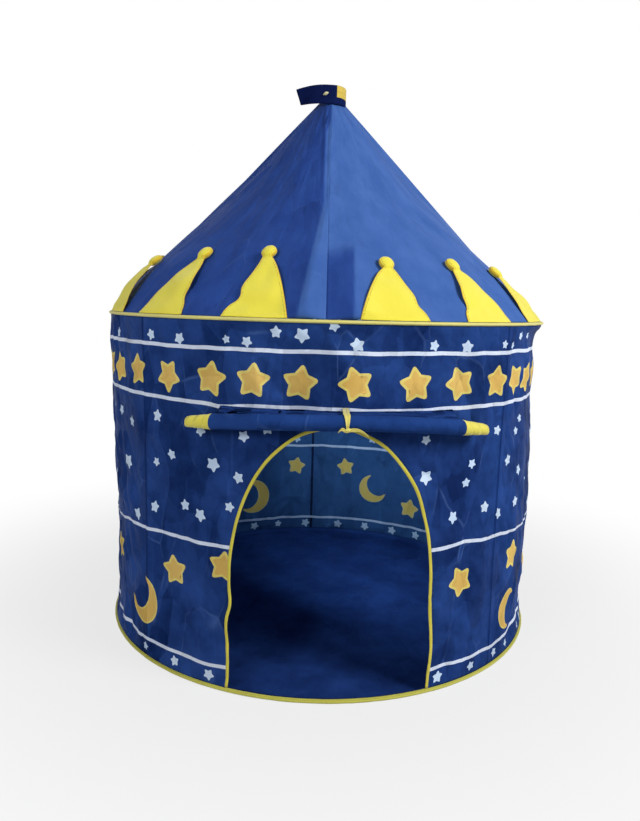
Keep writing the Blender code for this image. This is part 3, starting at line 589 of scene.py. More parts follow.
def stitched_tape(name, dark, light, thread, stitch_line):
    """Folded woven tape with a row of stitches along it at a distance across the UV map."""
    made, tree, shader = start_material(name, 0.68, 0.25)
    uv = uv_socket(tree)
    across = add_node(tree, "ShaderNodeSeparateXYZ", {"Vector": uv}).outputs["Y"]
    beside = math_node(tree, "COMPARE", across, stitch_line, STITCH_HALF_WIDTH)
    dashes = math_node(tree, "GREATER_THAN", wave(tree, uv, STITCH_PERIOD, "X"), 0.38)
    stitches = math_node(tree, "MULTIPLY", beside, dashes)
    cloth = blend_colours(tree, cloud(tree, uv, 22.0), dark, light)
    tree.links.new(blend_colours(tree, stitches, cloth, thread), shader.inputs["Base Color"])
    bump(tree, shader, (
        (weave(tree, uv, 0.0012), 0.00012, 0.6),
        (cloud(tree, uv, 120.0), 0.0008, 0.5),
        (beside, -0.0004, 0.6),
        (stitches, 0.0005, 0.8),
    ))
    return made


def crown_cloth():
    """Soft yellow fabric whose sewn edge is read from the piece's own edge distance."""
    made, tree, shader = start_material("crown_felt_soft", 0.78, 0.35)
    uv = uv_socket(tree)
    edge = add_node(tree, "ShaderNodeAttribute", {}, attribute_name="edge_distance").outputs["Fac"]
    rim = math_node(tree, "LESS_THAN", edge, CROWN_RIM_WIDTH)
    seam = math_node(tree, "COMPARE", edge, CROWN_STITCH_INSET, CROWN_STITCH_HALF_WIDTH)
    dashes = math_node(tree, "GREATER_THAN", cloud(tree, uv, 330.0, 1.0), 0.46)
    stitches = math_node(tree, "MULTIPLY", seam, dashes)
    cloth = blend_colours(tree, cloud(tree, uv, 18.0), srgb(240, 224, 44), srgb(250, 238, 84))
    rimmed = blend_colours(tree, rim, cloth, srgb(226, 190, 40))
    tree.links.new(blend_colours(tree, stitches, rimmed, srgb(206, 170, 30)), shader.inputs["Base Color"])
    bump(tree, shader, (
        (weave(tree, uv, 0.0014), 0.00015, 0.5),
        (cloud(tree, uv, 60.0), 0.0018, 0.5),
        (seam, -0.0005, 0.7),
    ))
    return made


def plastic(name, dark, light, roughness):
    made, tree, shader = start_material(name, roughness)
    place = add_node(tree, "ShaderNodeTexCoord", {}).outputs["Object"]
    mottle = cloud(tree, place, 40.0)
    tree.links.new(blend_colours(tree, mottle, dark, light), shader.inputs["Base Color"])
    bump(tree, shader, ((cloud(tree, place, 900.0, 2.0), 0.00006, 0.4),))
    return made


def drawn_wire(name):
    made, tree, shader = start_material(name, 0.32, metallic=1.0)
    place = add_node(tree, "ShaderNodeTexCoord", {}).outputs["Object"]
    tree.links.new(
        blend_colours(tree, cloud(tree, place, 160.0), srgb(150, 150, 154), srgb(196, 196, 198)),
        shader.inputs["Base Color"],
    )
    bump(tree, shader, ((cloud(tree, place, 1200.0, 2.0), 0.00005, 0.5),))
    return made


def webbing(name):
    """Doubled nylon of the pole pockets, seen on CAD solids that have no UV map."""
    made, tree, shader = start_material(name, 0.62, 0.2)
    place = add_node(tree, "ShaderNodeTexCoord", {}).outputs["Object"]
    tree.links.new(
        blend_colours(tree, cloud(tree, place, 60.0), srgb(22, 36, 88), srgb(30, 46, 104)),
        shader.inputs["Base Color"],
    )
    bump(tree, shader, (
        (wave(tree, place, 0.0012, "Z"), 0.0001, 0.5),
        (cloud(tree, place, 220.0), 0.0006, 0.5),
    ))
    return made


NYLON_GLOSS = (0.40, 0.58, 1.0)
# Each nylon's third colour is the painted highlight along its sharp creases.
NAVY = nylon("wall_navy", srgb(14, 34, 82), srgb(48, 82, 154), srgb(100, 134, 200))
NAVY_SEAM = nylon("wall_seam", srgb(17, 40, 92), srgb(30, 60, 124), srgb(60, 90, 150))
LINE_INK = printed("print_line", srgb(214, 226, 250), srgb(236, 243, 255))
PALE_INK = printed("print_pale_star", srgb(196, 220, 250), srgb(222, 238, 255))
GOLD_EDGE_INK = printed("print_gold_edge", srgb(224, 202, 104), srgb(242, 224, 134))
GOLD_INK = printed("print_gold", srgb(214, 172, 88), srgb(240, 204, 120))
OUTER_CLOTH = (NAVY, NAVY_SEAM, LINE_INK, PALE_INK, GOLD_EDGE_INK, GOLD_INK)
INNER_CLOTH = (
    nylon("wall_inside", srgb(36, 66, 112), srgb(50, 86, 138), srgb(74, 108, 160)),
    nylon("wall_inside_seam", srgb(14, 26, 52), srgb(22, 36, 66), srgb(30, 50, 90)),
    printed("print_line_inside", srgb(150, 170, 204), srgb(176, 194, 220)),
    printed("print_pale_star_inside", srgb(150, 176, 206), srgb(176, 198, 222)),
    printed("print_gold_edge_inside", srgb(176, 166, 108), srgb(196, 184, 122)),
    printed("print_gold_inside", srgb(182, 158, 84), srgb(202, 178, 100)),
)
KINDS = {"cloth": 0, "seam": 1, "line": 2, "pale": 3, "gold_edge": 4, "gold": 5}
DOORWAY = -1


# Shapes

def at(azimuth, radius, height):
    """A point by its azimuth, 0 at the front and growing to the tent's +X side."""
    return Vector((radius * sin(azimuth), -radius * cos(azimuth), height))


def smoothstep(value):
    value = min(max(value, 0.0), 1.0)
    return value * value * (3 - 2 * value)


def evenly(low, high, step):
    count = max(1, ceil((high - low) / step - 1e-6))
    return [low + (high - low) * i / count for i in range(count + 1)]


def add_piece(name, points, faces, materials, uvs=None, kinds=None):
    """A smooth mesh piece; uvs holds one pair per point, in metres of cloth."""
    mesh = bpy.data.meshes.new(name)
    mesh.from_pydata([tuple(point) for point in points], [], faces)
    for made in materials:
        mesh.materials.append(made)
    if kinds is not None:
        mesh.polygons.foreach_set("material_index", kinds)
    if uvs is not None:
        layer = mesh.uv_layers.new(name="UVMap")
        for loop in mesh.loops:
            layer.data[loop.index].uv = uvs[loop.vertex_index]
    mesh.shade_smooth()
    obj = bpy.data.objects.new(name, mesh)
    bpy.context.scene.collection.objects.link(obj)
    return obj


def grid(columns, rows, place):
    """Points and quads of a sheet from place(column, row)."""
    points = [place(column, row) for column in columns for row in rows]
    height = len(rows)
    faces = []
    for i in range(len(columns) - 1):
        for j in range(height - 1):
            low = i * height + j
            faces.append((low, low + height, low + height + 1, low + 1))
    return points, faces


def weld(obj):
    """Join the points where a closed sweep meets itself, which keeps its UV map whole."""
    bm = bmesh.new()
    bm.from_mesh(obj.data)
    bmesh.ops.remove_doubles(bm, verts=bm.verts, dist=MERGE_DISTANCE)
    bmesh.ops.recalc_face_normals(bm, faces=bm.faces)
    bm.to_mesh(obj.data)
    bm.free()


def sweep(name, rings, lengths, girths, materials, cap=False, kinds=None):
    """A tube through rings of points; each ring repeats its first point at its end."""
    points = [point for ring in rings for point in ring]
    count = len(rings[0])
    faces = []
    for i in range(len(rings) - 1):
        for j in range(count - 1):
            low = i * count + j
            faces.append((low, low + 1, low + count + 1, low + count))
    if cap:
        faces.append(tuple(reversed(range(count - 1))))
        last = (len(rings) - 1) * count
        faces.append(tuple(range(last, last + count - 1)))
    uvs = [(length, girth) for length in lengths for girth in girths]
    if kinds is not None and cap:
        kinds = list(kinds) + [kinds[0], kinds[-1]]
    obj = add_piece(name, points, faces, materials, uvs, kinds)
    weld(obj)
    return obj


def thicken(obj, thickness, inner_offset=0):
    """Give a sheet its thickness; the far side takes the materials that stand that far down the list."""
    made = obj.modifiers.new("thickness", "SOLIDIFY")
    made.thickness = thickness
    made.offset = 0.0
    made.material_offset = inner_offset
    made.use_even_offset = False
    return obj


def ripple(x, y, seed):
    return noise.noise(Vector((x, y, seed)))


# Wall

def shortest_turn(azimuth):
    return (azimuth + pi) % FULL_TURN - pi


def mound(azimuth, height, centre, level, spread_round, spread_up):
    """1 at a place on the wall, fading to 0 round it."""
    aside = shortest_turn(azimuth - centre) * HOOP_RADIUS / spread_round
    above = (height - level) / spread_up
    return exp(-aside * aside - above * above)


def facets(x, y, seed):
    """Flat-sided swellings with sharp valleys between them, as in crumpled cloth."""
    near = noise.voronoi(Vector((x, y, seed)))[0]
    return min(near[1] - near[0], 0.7)


def wall_relief(azimuth, height):
    """How far the cloth stands out from its smooth surface: dents, folds, creases, gathers, seams."""
    distance = HOOP_RADIUS * azimuth
    to_edge = min(height - WALL_BOTTOM, WALL_TOP - height)
    fade = smoothstep(to_edge / EDGE_FADE)
    quarter_turn = (azimuth - FIRST_POLE_AZIMUTH) / QUARTER
    to_seam = abs(quarter_turn - round(quarter_turn)) * QUARTER * HOOP_RADIUS
    beside_pole = smoothstep((to_seam - SEAM_WIDTH) / EDGE_FADE)
    folds = WALL_FOLD_DEPTH * ripple(distance / WALL_FOLD_WIDTH, height / WALL_FOLD_HEIGHT, 1.7)
    slanted = distance + WALL_CREASE_SLANT * height
    crossing = height - WALL_CREASE_CROSS_SLANT * distance
    large = facets(slanted / WALL_FACET_SPREAD, crossing / WALL_FACET_SPREAD / WALL_FACET_STRETCH, 5.1)
    small = facets(slanted / WALL_CRUMPLE_SPREAD, crossing / WALL_CRUMPLE_SPREAD / WALL_CRUMPLE_STRETCH, 9.3)
    creases = WALL_FACET_DEPTH * (large - WALL_CREASE_MIDDLE)
    creases += WALL_CRUMPLE_DEPTH * (small - WALL_CREASE_MIDDLE)
    patch = ripple(distance / WALL_CREASE_PATCH, height / WALL_CREASE_PATCH, 3.3)
    creases *= WALL_CREASE_EVEN_SHARE + WALL_CREASE_PATCH_SHARE * patch
    gathers = WALL_GATHER_DEPTH * exp((height - WALL_TOP) / WALL_GATHER_REACH)
    gathers *= ripple((distance + height) / WALL_GATHER_WIDTH, height / WALL_GATHER_REACH, 4.4)
    shape = sum(out * mound(azimuth, height, *place) for *place, out in WALL_SHAPE)
    seam = SEAM_RIDGE * (1 - smoothstep(to_seam / SEAM_WIDTH * 2 - 0.5))
    relief = fade * (beside_pole * (folds + creases + gathers + shape) + seam)
    behind_roll = mound(azimuth, height, ROLL_AZIMUTH, ROLL_HEIGHT, ROLL_LENGTH * 0.6, ROLL_RADIUS * 2)
    return relief - behind_roll * max(relief, 0.0)


def wall_radius(azimuth, height):
    share = min(max((height - WALL_BOTTOM) / (WALL_TOP - WALL_BOTTOM), 0.0), 1.0)
    between = 0.5 + 0.5 * cos(POLES * azimuth)
    waist = WAIST_AT_POLE + (WAIST_BETWEEN_POLES - WAIST_AT_POLE) * between
    return HOOP_RADIUS - waist * sin(pi * share) + wall_relief(azimuth, height)


def wall_point(azimuth, height, out=0.0):
    """A point of the hanging cloth from its place in the flat cloth."""
    fade = smoothstep(min(height - WALL_BOTTOM, WALL_TOP - height) / EDGE_FADE)
    aside = sum(shift * mound(azimuth, height, *place) for *place, shift, _ in WALL_DRAG)
    sway = LINE_SWAY * ripple(azimuth * HOOP_RADIUS / LINE_SWAY_WIDTH, height / WALL_FOLD_HEIGHT, 6.6)
    above = sway + sum(shift * mound(azimuth, height, *place) for *place, _, shift in WALL_DRAG)
    azimuth += fade * aside / HOOP_RADIUS
    height += fade * above
    return at(azimuth, wall_radius(azimuth, height) + out, height)


def camera_axes():
    """Right, up and forward of the camera that took the photograph."""
    flat = cos(CAMERA_PITCH)
    forward = Vector((sin(CAMERA_YAW) * flat, cos(CAMERA_YAW) * flat, -sin(CAMERA_PITCH)))
    level = Vector((cos(CAMERA_YAW), -sin(CAMERA_YAW), 0))
    up = level.cross(forward)
    right = level * cos(CAMERA_ROLL) + up * sin(CAMERA_ROLL)
    top = up * cos(CAMERA_ROLL) - level * sin(CAMERA_ROLL)
    return right, top, forward


def seen_at(across, down, radius):
    """Azimuth and height on the wall's near side, at a radius, of what a pixel of the photograph shows."""
    right, top, forward = camera_axes()
    aside = (across - PHOTO_WIDTH / 2) / PHOTO_FOCAL
    above = (PHOTO_HEIGHT / 2 - down) / PHOTO_FOCAL
    ray = forward + right * aside + top * above
    camera = Vector(CAMERA_PLACE)
    spread = ray.xy.length_squared
    closing = -ray.xy.dot(camera.xy)
    outside = camera.xy.length_squared - radius ** 2
    place = camera + ray * (closing - sqrt(closing ** 2 - spread * outside)) / spread
    return atan2(place.x, -place.y), place.z


def tenth_of_degree(azimuth):
    """An azimuth to as much as a pixel of the photograph shows."""
    return radians(round(degrees(azimuth), 1))


def star_outline(radius, turn, centre):
    """A plump five-pointed star with blunt tips."""
    middle = Vector(centre)
    corners = []
    for i in range(10):
        reach = radius if i % 2 == 0 else radius * STAR_PLUMP_SHARE
        angle = turn + pi / 2 + pi * i / 5
        corners.append(middle + Vector((cos(angle), sin(angle))) * reach)
    outline = []
    for i, corner in enumerate(corners):
        if i % 2 == 0:
            outline.append(corner.lerp(corners[i - 1], STAR_BLUNT_SHARE))
            outline.append(corner.lerp(middle, STAR_BLUNT_SHARE / 3))
            outline.append(corner.lerp(corners[(i + 1) % 10], STAR_BLUNT_SHARE))
        else:
            outline.append(corner)
    return outline


def crescent_outline(radius, turn, centre, thin=0.0):
    """A crescent: an outer arc, then back along a flatter inner arc between the same tips."""
    steps = 24
    reach = radians(CRESCENT_REACH_DEGREES)
    tip = Vector((cos(reach), sin(reach))) * radius
    hollow = radius * (1 - CRESCENT_THICK_SHARE + thin)
    middle = (hollow ** 2 - tip.length_squared) / (2 * (hollow - tip.x))
    inner_radius = hollow - middle
    inner_reach = atan2(tip.y, tip.x - middle)
    outline = []
    for i in range(steps + 1):
        angle = -reach + 2 * reach * i / steps
        outline.append(Vector((cos(angle), sin(angle))) * radius)
    for i in range(1, steps):
        angle = inner_reach - 2 * inner_reach * i / steps
        outline.append(Vector((middle + inner_radius * cos(angle), inner_radius * sin(angle))))
    spin = Matrix.Rotation(turn, 2)
    return [Vector(centre) + spin @ point for point in outline]


def door_outline(inset, bottom):
    """The doorway's edge as (distance round the hoop, height), from left foot to right foot."""
    half_width = DOOR_HALF_WIDTH - inset
    rise = DOOR_HEIGHT - DOOR_SPRING_HEIGHT - inset
    sides = evenly(bottom, DOOR_SPRING_HEIGHT, CLOTH_STEP)[:-1]
    left = [(-half_width, z) for z in sides]
    arch = []
    for i in range(DOOR_EDGE_STEPS + 1):
        turn = pi - pi * i / DOOR_EDGE_STEPS
        arch.append((half_width * cos(turn), DOOR_SPRING_HEIGHT + rise * sin(turn)))
    return left + arch + [(half_width, z) for z in reversed(sides)]


def anticlockwise(outline):
    """The triangulation fills the left side of an outline."""
    turns = sum(a.x * b.y - b.x * a.y for a, b in zip(outline, outline[1:] + outline[:1]))
    return outline if turns > 0 else outline[::-1]


def small_stars(low, high, width, spacing, random):
    """Small pale stars strewn over a band, clear of each other, as pairs of place and radius."""
    found = []
    for _ in range(int(width * (high - low) / spacing ** 2 * 20)):
        radius = SMALL_STAR_RADIUS * random.uniform(*SMALL_STAR_SHARES)
        margin = radius + SMALL_STAR_MARGIN
        if high - low < 2 * margin:
            radius = (high - low) / 2 - SMALL_STAR_MARGIN / 2
            margin = radius + SMALL_STAR_MARGIN / 2
        place = Vector((random.uniform(margin, width - margin), random.uniform(low + margin, high - margin)))
        if all((place - other).length > reach + radius + spacing for other, reach in found):
            found.append((place, radius))
    return found


def gold_pair(kind, radius, turn, centre):
    if kind == "moon":
        inner = crescent_outline(radius * CRESCENT_INNER_SHARE, turn, centre, thin=CRESCENT_INNER_THIN)
        return [("gold_edge", crescent_outline(radius, turn, centre)), ("gold", inner)]
    inner = star_outline(radius * GOLD_EDGE_SHARE, turn, centre)
    return [("gold_edge", star_outline(radius, turn, centre)), ("gold", inner)]


def big_star_azimuths():
    """The stars of the high band that the photograph shows, then the rest at an even spacing."""
    seen = []
    for across, down, *set_azimuth in BIG_STAR_PIXELS:
        azimuth = tenth_of_degree(seen_at(across, down, BIG_STARS_AT_RADIUS)[0])
        seen.append(set_azimuth[0] if set_azimuth else azimuth)
    gap = (FULL_TURN + seen[0] - seen[-1]) / (BIG_STARS_ROUND_BACK + 1)
    return seen + [seen[-1] + gap * (i + 1) for i in range(BIG_STARS_ROUND_BACK)]


def small_stars_in_view():
    """Azimuth, height and radius of the pale stars in the photograph, the highest looked up first."""
    found = []
    for across, down, radius, *set_height in SMALL_STAR_PIXELS:
        azimuth, height = seen_at(across, down, SMALL_STARS_AT_RADIUS)
        away = -CAMERA_PLACE[1] - SMALL_STARS_AT_RADIUS * cos(azimuth)
        height = round(height, PLACE_DIGITS)
        radius = round(radius * away / PHOTO_FOCAL, RADIUS_DIGITS)
        found.append((height, tenth_of_degree(azimuth), set_height[0] if set_height else height, radius))
    found.sort(key=lambda star: star[0], reverse=True)
    return [star[1:] for star in found]


def panel_print(first, width, random):
    """Every printed shape of one panel as (kind, outline), in metres round and up the panel."""
    def along_panel(azimuth):
        return shortest_turn(azimuth - first - QUARTER / 2) * HOOP_RADIUS + width / 2

    shapes = []
    motifs = []
    for i, azimuth in enumerate(big_star_azimuths()):
        height = BIG_STAR_HEIGHT + BIG_STAR_LIFT * ripple(i, 0.5, 1.5)
        motifs.append(("star", azimuth, height, BIG_STAR_TURN * ripple(i * 1.3, 0.7, 2.5), BIG_STAR_RADIUS))
    for kind, azimuth, height, turn, size in LOW_MOTIFS:
        radius = size * (MOON_RADIUS if kind == "moon" else GOLD_STAR_RADIUS)
        motifs.append((kind, azimuth, height, turn, radius))
    for kind, azimuth, height, turn, radius in motifs:
        along = along_panel(azimuth)
        if -radius < along < width + radius:
            shapes += gold_pair(kind, radius, turn, (along, height))
    stops = line_stops()
    ground, _, middle, _, top = zip(stops[::2], stops[1::2])
    for band, spacing in ((ground, SMALL_STAR_SPACING), (middle, SMALL_STAR_SPACING), (top, TOP_STAR_SPACING)):
        for place, radius in small_stars(*band, width, spacing, random):
            if abs(shortest_turn(first + place.x / HOOP_RADIUS)) > SMALL_STARS_REACH:
                shapes.append(("pale", star_outline(radius, random.uniform(0, FULL_TURN), place)))
    for azimuth, height, radius in small_stars_in_view():
        along = along_panel(azimuth)
        if -radius < along < width + radius:
            shapes.append(("pale", star_outline(radius, random.uniform(0, FULL_TURN), (along, height))))
    return shapes


def line_stops():
    """Heights of the cloth's edges and of the printed lines' edges, from the ground up."""
    stops = [CLOTH_BOTTOM]
    for height in LINE_HEIGHTS:
        stops += [height - LINE_WIDTH / 2, height + LINE_WIDTH / 2]
    return stops + [CLOTH_TOP]


def panel_rows():
    """Row heights that follow the printed lines' edges exactly."""
    stops = line_stops()
    rows = [stops[0]]
    for low, high in zip(stops, stops[1:]):
        rows += evenly(low, high, CLOTH_STEP)[1:]
    return rows


def make_panel(index, node, with_door=False):
    """One printed wall panel: the flat cloth is cut along print and doorway, then stood round the hoops."""
    first = FIRST_POLE_AZIMUTH + QUARTER * (index - 1)
    width = HOOP_RADIUS * QUARTER
    columns = evenly(0, width, CLOTH_STEP)
    rows = panel_rows()
    points = [Vector((column, row)) for column in columns for row in rows]
    count = len(rows)
    last = (len(columns) - 1) * count
    edge = [i * count for i in range(len(columns))] + list(range(last + 1, last + count))
    edge += [i * count + count - 1 for i in reversed(range(len(columns) - 1))] + list(range(count - 2, 0, -1))
    outlines, kinds = [edge], [KINDS["cloth"]]
    for height in LINE_HEIGHTS:
        low = rows.index(min(rows, key=lambda row: abs(row - height + LINE_WIDTH / 2)))
        high = rows.index(min(rows, key=lambda row: abs(row - height - LINE_WIDTH / 2)))
        along = range(len(columns))
        outlines.append([i * count + low for i in along] + [i * count + high for i in reversed(along)])
        kinds.append(KINDS["line"])
    shapes = []
    for kind, outline in panel_print(first, width, Random(PRINT_SEED + index)):
        shapes.append((KINDS[kind], outline))
    for edge in (0.0, width - SEAM_WIDTH / 2):
        low_right = edge + SEAM_WIDTH / 2
        strip = [(edge, row) for row in rows] + [(low_right, row) for row in reversed(rows)]
        shapes.append((KINDS["seam"], [Vector(point) for point in strip]))
    back = ((BACK_SEAM_AZIMUTH - first) % FULL_TURN) * HOOP_RADIUS
    if back < width:
        strip = [(back, row) for row in rows] + [(back + SEAM_WIDTH, row) for row in reversed(rows)]
        shapes.append((KINDS["seam"], [Vector(point) for point in strip]))
    if with_door:
        centre = (DOOR_AZIMUTH - first) * HOOP_RADIUS
        shapes.append((DOORWAY, [Vector((centre + s, z)) for s, z in door_outline(0, CLOTH_BOTTOM)]))
    for kind, outline in shapes:
        outlines.append(list(range(len(points), len(points) + len(outline))))
        points += anticlockwise(outline)
        kinds.append(kind)
    flat, _, faces, _, _, sources = delaunay_2d_cdt(points, [], outlines, 0, 1e-7, True)
    kept, face_kinds = [], []
    for face, source in zip(faces, sources):
        found = [kinds[i] for i in source]
        if 0 not in source or DOORWAY in found:
            continue
        kept.append(tuple(face))
        face_kinds.append(max(found))
    used = sorted({i for face in kept for i in face})
    order = {old: new for new, old in enumerate(used)}
    kept = [tuple(order[i] for i in face) for face in kept]
    places, uvs = [], []
    for i in used:
        u, v = flat[i]
        azimuth = first + u / HOOP_RADIUS
        places.append(wall_point(azimuth, v))
        uvs.append((HOOP_RADIUS * first + u, v))
    panel = add_piece(node + "_cloth", places, kept, OUTER_CLOTH + INNER_CLOTH, uvs, face_kinds)
    thicken(panel, CLOTH, len(OUTER_CLOTH))
    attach(panel, "base")
    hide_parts(node)
    lower_with_canopy(panel)
    height = CLOTH_TOP - CLOTH_BOTTOM


def lower_with_canopy(piece):
    """Give the wall's piece a mesh of its own."""
    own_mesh(piece)


def make_walls():
    make_panel(0, "wall_front", with_door=True)
    for i, node in enumerate(("wall_right", "wall_back", "wall_left")):
        make_panel(i + 1, node)


def make_door_tape():
    """Folded tape that wraps the doorway's edge, softly puckered by its stitches."""
    colours = (srgb(206, 192, 52), srgb(226, 214, 84), srgb(168, 150, 40))
    tape = stitched_tape("door_tape_sewn", *colours, DOOR_STITCH_LINE)
    outer = door_outline(0, WALL_BOTTOM)
    inner = door_outline(DOOR_TAPE_WIDTH, WALL_BOTTOM)
    sides = 12
    rings, lengths = [], []
    travelled = 0.0
    before = None
    for (s_out, z_out), (s_in, z_in) in zip(outer, inner):
        middle = Vector(((s_out + s_in) / 2, (z_out + z_in) / 2))
        half = Vector((s_out - s_in, z_out - z_in)) / 2
        travelled += (middle - before).length if before is not None else 0.0
        before = middle
        pucker = 1 + DOOR_TAPE_PUCKER * ripple(travelled / DOOR_TAPE_PUCKER_LENGTH, 0.0, 3.3)
        ring = []
        for i in range(sides + 1):
            turn = FULL_TURN * i / sides
            flat = middle + half * cos(turn)
            azimuth = DOOR_AZIMUTH + flat.x / HOOP_RADIUS
            thick = DOOR_BINDING_THICKNESS / 2 * pucker * sin(turn)
            ring.append(wall_point(azimuth, flat.y, thick))
        rings.append(ring)
        lengths.append(travelled)
    girths = [2 * DOOR_TAPE_WIDTH * i / sides for i in range(sides + 1)]
    piece = sweep("door_tape", rings, lengths, girths, (tape,), cap=True)
    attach(piece, "base")
    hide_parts("door_binding")
    lower_with_canopy(piece)


def make_hoop_tape(name, node, height, body, material, on_floor):
    """Folded tape round a wire hoop, with a stitched ridge on its lower inner side."""
    sides = 14
    rings, lengths = [], []
    for i in range(SEGMENTS_PER_TURN + 1):
        azimuth = FULL_TURN * i / SEGMENTS_PER_TURN
        ring = []
        for j in range(sides + 1):
            turn = FULL_TURN * j / sides
            phase = i % SEGMENTS_PER_TURN
            swell = 1 + TAPE_SWELL * ripple(phase * 0.9, cos(turn), 2.2)
            radius = BINDING_RADIUS * swell
            flatness = 1.0 if on_floor and sin(turn) < 0 else TAPE_FLATNESS
            ring.append(at(azimuth, HOOP_RADIUS + radius * cos(turn), height + radius * flatness * sin(turn)))
        rings.append(ring)
        lengths.append(HOOP_RADIUS * azimuth)
    girths = [FULL_TURN * BINDING_RADIUS * j / sides for j in range(sides + 1)]
    piece = sweep(name, rings, lengths, girths, (material,))
    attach(piece, body)
    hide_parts(node)


def make_hoop_tapes():
    # Both hoops are bound with one yellow tape; the eave tape's colours have painted light in them.
    eave_colours = (srgb(222, 212, 104), srgb(240, 232, 150), srgb(196, 178, 70))
    # The floor tape's olive colours are the same tape in painted shade.
    floor_colours = (srgb(184, 180, 60), srgb(214, 210, 92), srgb(150, 140, 40))
    eave = stitched_tape("eave_tape_sewn", *eave_colours, TAPE_STITCH_LINE)
    floor = stitched_tape("base_tape_sewn", *floor_colours, TAPE_STITCH_LINE)
    make_hoop_tape("eave_tape_ring", "eave_binding", EAVE_HEIGHT, "canopy", eave, False)
    make_hoop_tape("base_tape_ring", "base_binding", BINDING_RADIUS, "base", floor, True)


def floor_height(x, y):
    """Shallow wrinkles all over, and slack folds inside the doorway."""
    broad = max(ripple(x / FLOOR_BROAD_SPREADS[0], y / FLOOR_BROAD_SPREADS[1], 4.2), -0.35) + 0.35
    fine = max(ripple((x + y) / FLOOR_FINE_SPREADS[0], (x - y) / FLOOR_FINE_SPREADS[1], 8.8), 0.0)
    along = x / FLOOR_FOLD_LENGTHS[0] + y / FLOOR_FOLD_LENGTHS[1]
    across = y / FLOOR_FOLD_WIDTHS[0] - x / FLOOR_FOLD_WIDTHS[1]
    folds = max(ripple(along, across, 5.5), 0.0)
    front = exp(-((y - FLOOR_FRONT_PLACE) / FLOOR_FRONT_SPREAD) ** 2)
    return CLOTH + FLOOR_WRINKLE * (0.6 * broad + 0.5 * fine) + FLOOR_FRONT_FOLD * front * folds


def make_floor_cloth():
    """The groundsheet, whose rim turns up over the floor hoop's tape to the wall."""
    # The third colour is the floor's painted crease highlight.
    cloth = nylon("floor_navy", srgb(22, 42, 92), srgb(34, 62, 124), srgb(60, 92, 160), crease=0.35)
    steps = FLOOR_COLUMNS
    flat_radius = SHEET_RADIUS - FLOOR_RIM_INSET
    rings = evenly(FLOOR_MIDDLE_RADIUS, flat_radius, FLOOR_STEP)
    over = BINDING_RADIUS * FLOOR_OVER_TAPE
    points, faces, uvs = [], [], []
    for i in range(steps):
        azimuth = FULL_TURN * i / steps
        for radius in rings:
            x, y = radius * sin(azimuth), -radius * cos(azimuth)
            fade = smoothstep((flat_radius - radius) / FLOOR_RIM_FADE)
            points.append(Vector((x, y, CLOTH + fade * (floor_height(x, y) - CLOTH))))
            uvs.append((x, y))
        for j in range(FLOOR_RIM_ROWS):
            turn = pi - FLOOR_RIM_TURN * j / (FLOOR_RIM_ROWS - 1)
            place = at(azimuth, HOOP_RADIUS + over * cos(turn), BINDING_RADIUS + over * sin(turn))
            points.append(place)
            uvs.append((place.x, place.y))
    count = len(rings) + FLOOR_RIM_ROWS
    for i in range(steps):
        after = (i + 1) % steps
        for j in range(count - 1):
            faces.append((i * count + j, i * count + j + 1, after * count + j + 1, after * count + j))
    middle = len(points)
    points.append(Vector((0, 0, floor_height(0, 0))))
    uvs.append((0, 0))
    for i in range(steps):
        faces.append((middle, i * count, ((i + 1) % steps) * count))
    piece = add_piece("floor_cloth", points, faces, (cloth,), uvs)
    thicken(piece, CLOTH)
    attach(piece, "base")
    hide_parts("groundsheet")


# Roof

def front_folds(azimuth, along):
    """Slack beside the front rod: a broad fold on its left, a narrow one on its right and one pleat."""
    radius = HOOP_RADIUS * (1 - along / ROOF_SLANT)
    aside = shortest_turn(azimuth) * radius
    fade = smoothstep(along / EDGE_FADE)
    reach = max(1 - along / (ROOF_SLANT * FRONT_FOLD_REACH_SHARE), 0.0)
    fold_width = FRONT_FOLD_WIDTH * reach + GAP
    crease_reach = 1 - smoothstep((along - FRONT_CREASE_REACH + EDGE_FADE) / FRONT_CREASE_WIDTH)
    if aside < 0:
        share = -aside / fold_width if -aside < fold_width else 1 - (-aside - fold_width) / FRONT_FOLD_FADE
        height = FRONT_FOLD_HEIGHT * reach * max(share, 0.0)
    else:
        share = aside / FRONT_CREASE_WIDTH
        share = share if share < 1 else 1 - (share - 1) * FRONT_CREASE_WIDTH / FRONT_FOLD_FADE
        height = FRONT_CREASE_HEIGHT * crease_reach * max(share, 0.0)
    above = smoothstep((along / ROOF_SLANT - FRONT_FOLD_REACH_SHARE) / 0.1)
    above *= smoothstep((radius - RIDGE_PLEAT_PLACE) / RIDGE_PLEAT_FADE)
    pleat = max(1 - abs(aside + RIDGE_PLEAT_PLACE) / RIDGE_PLEAT_WIDTH, 0.0)
    return fade * height + above * RIDGE_PLEAT_HEIGHT * pleat


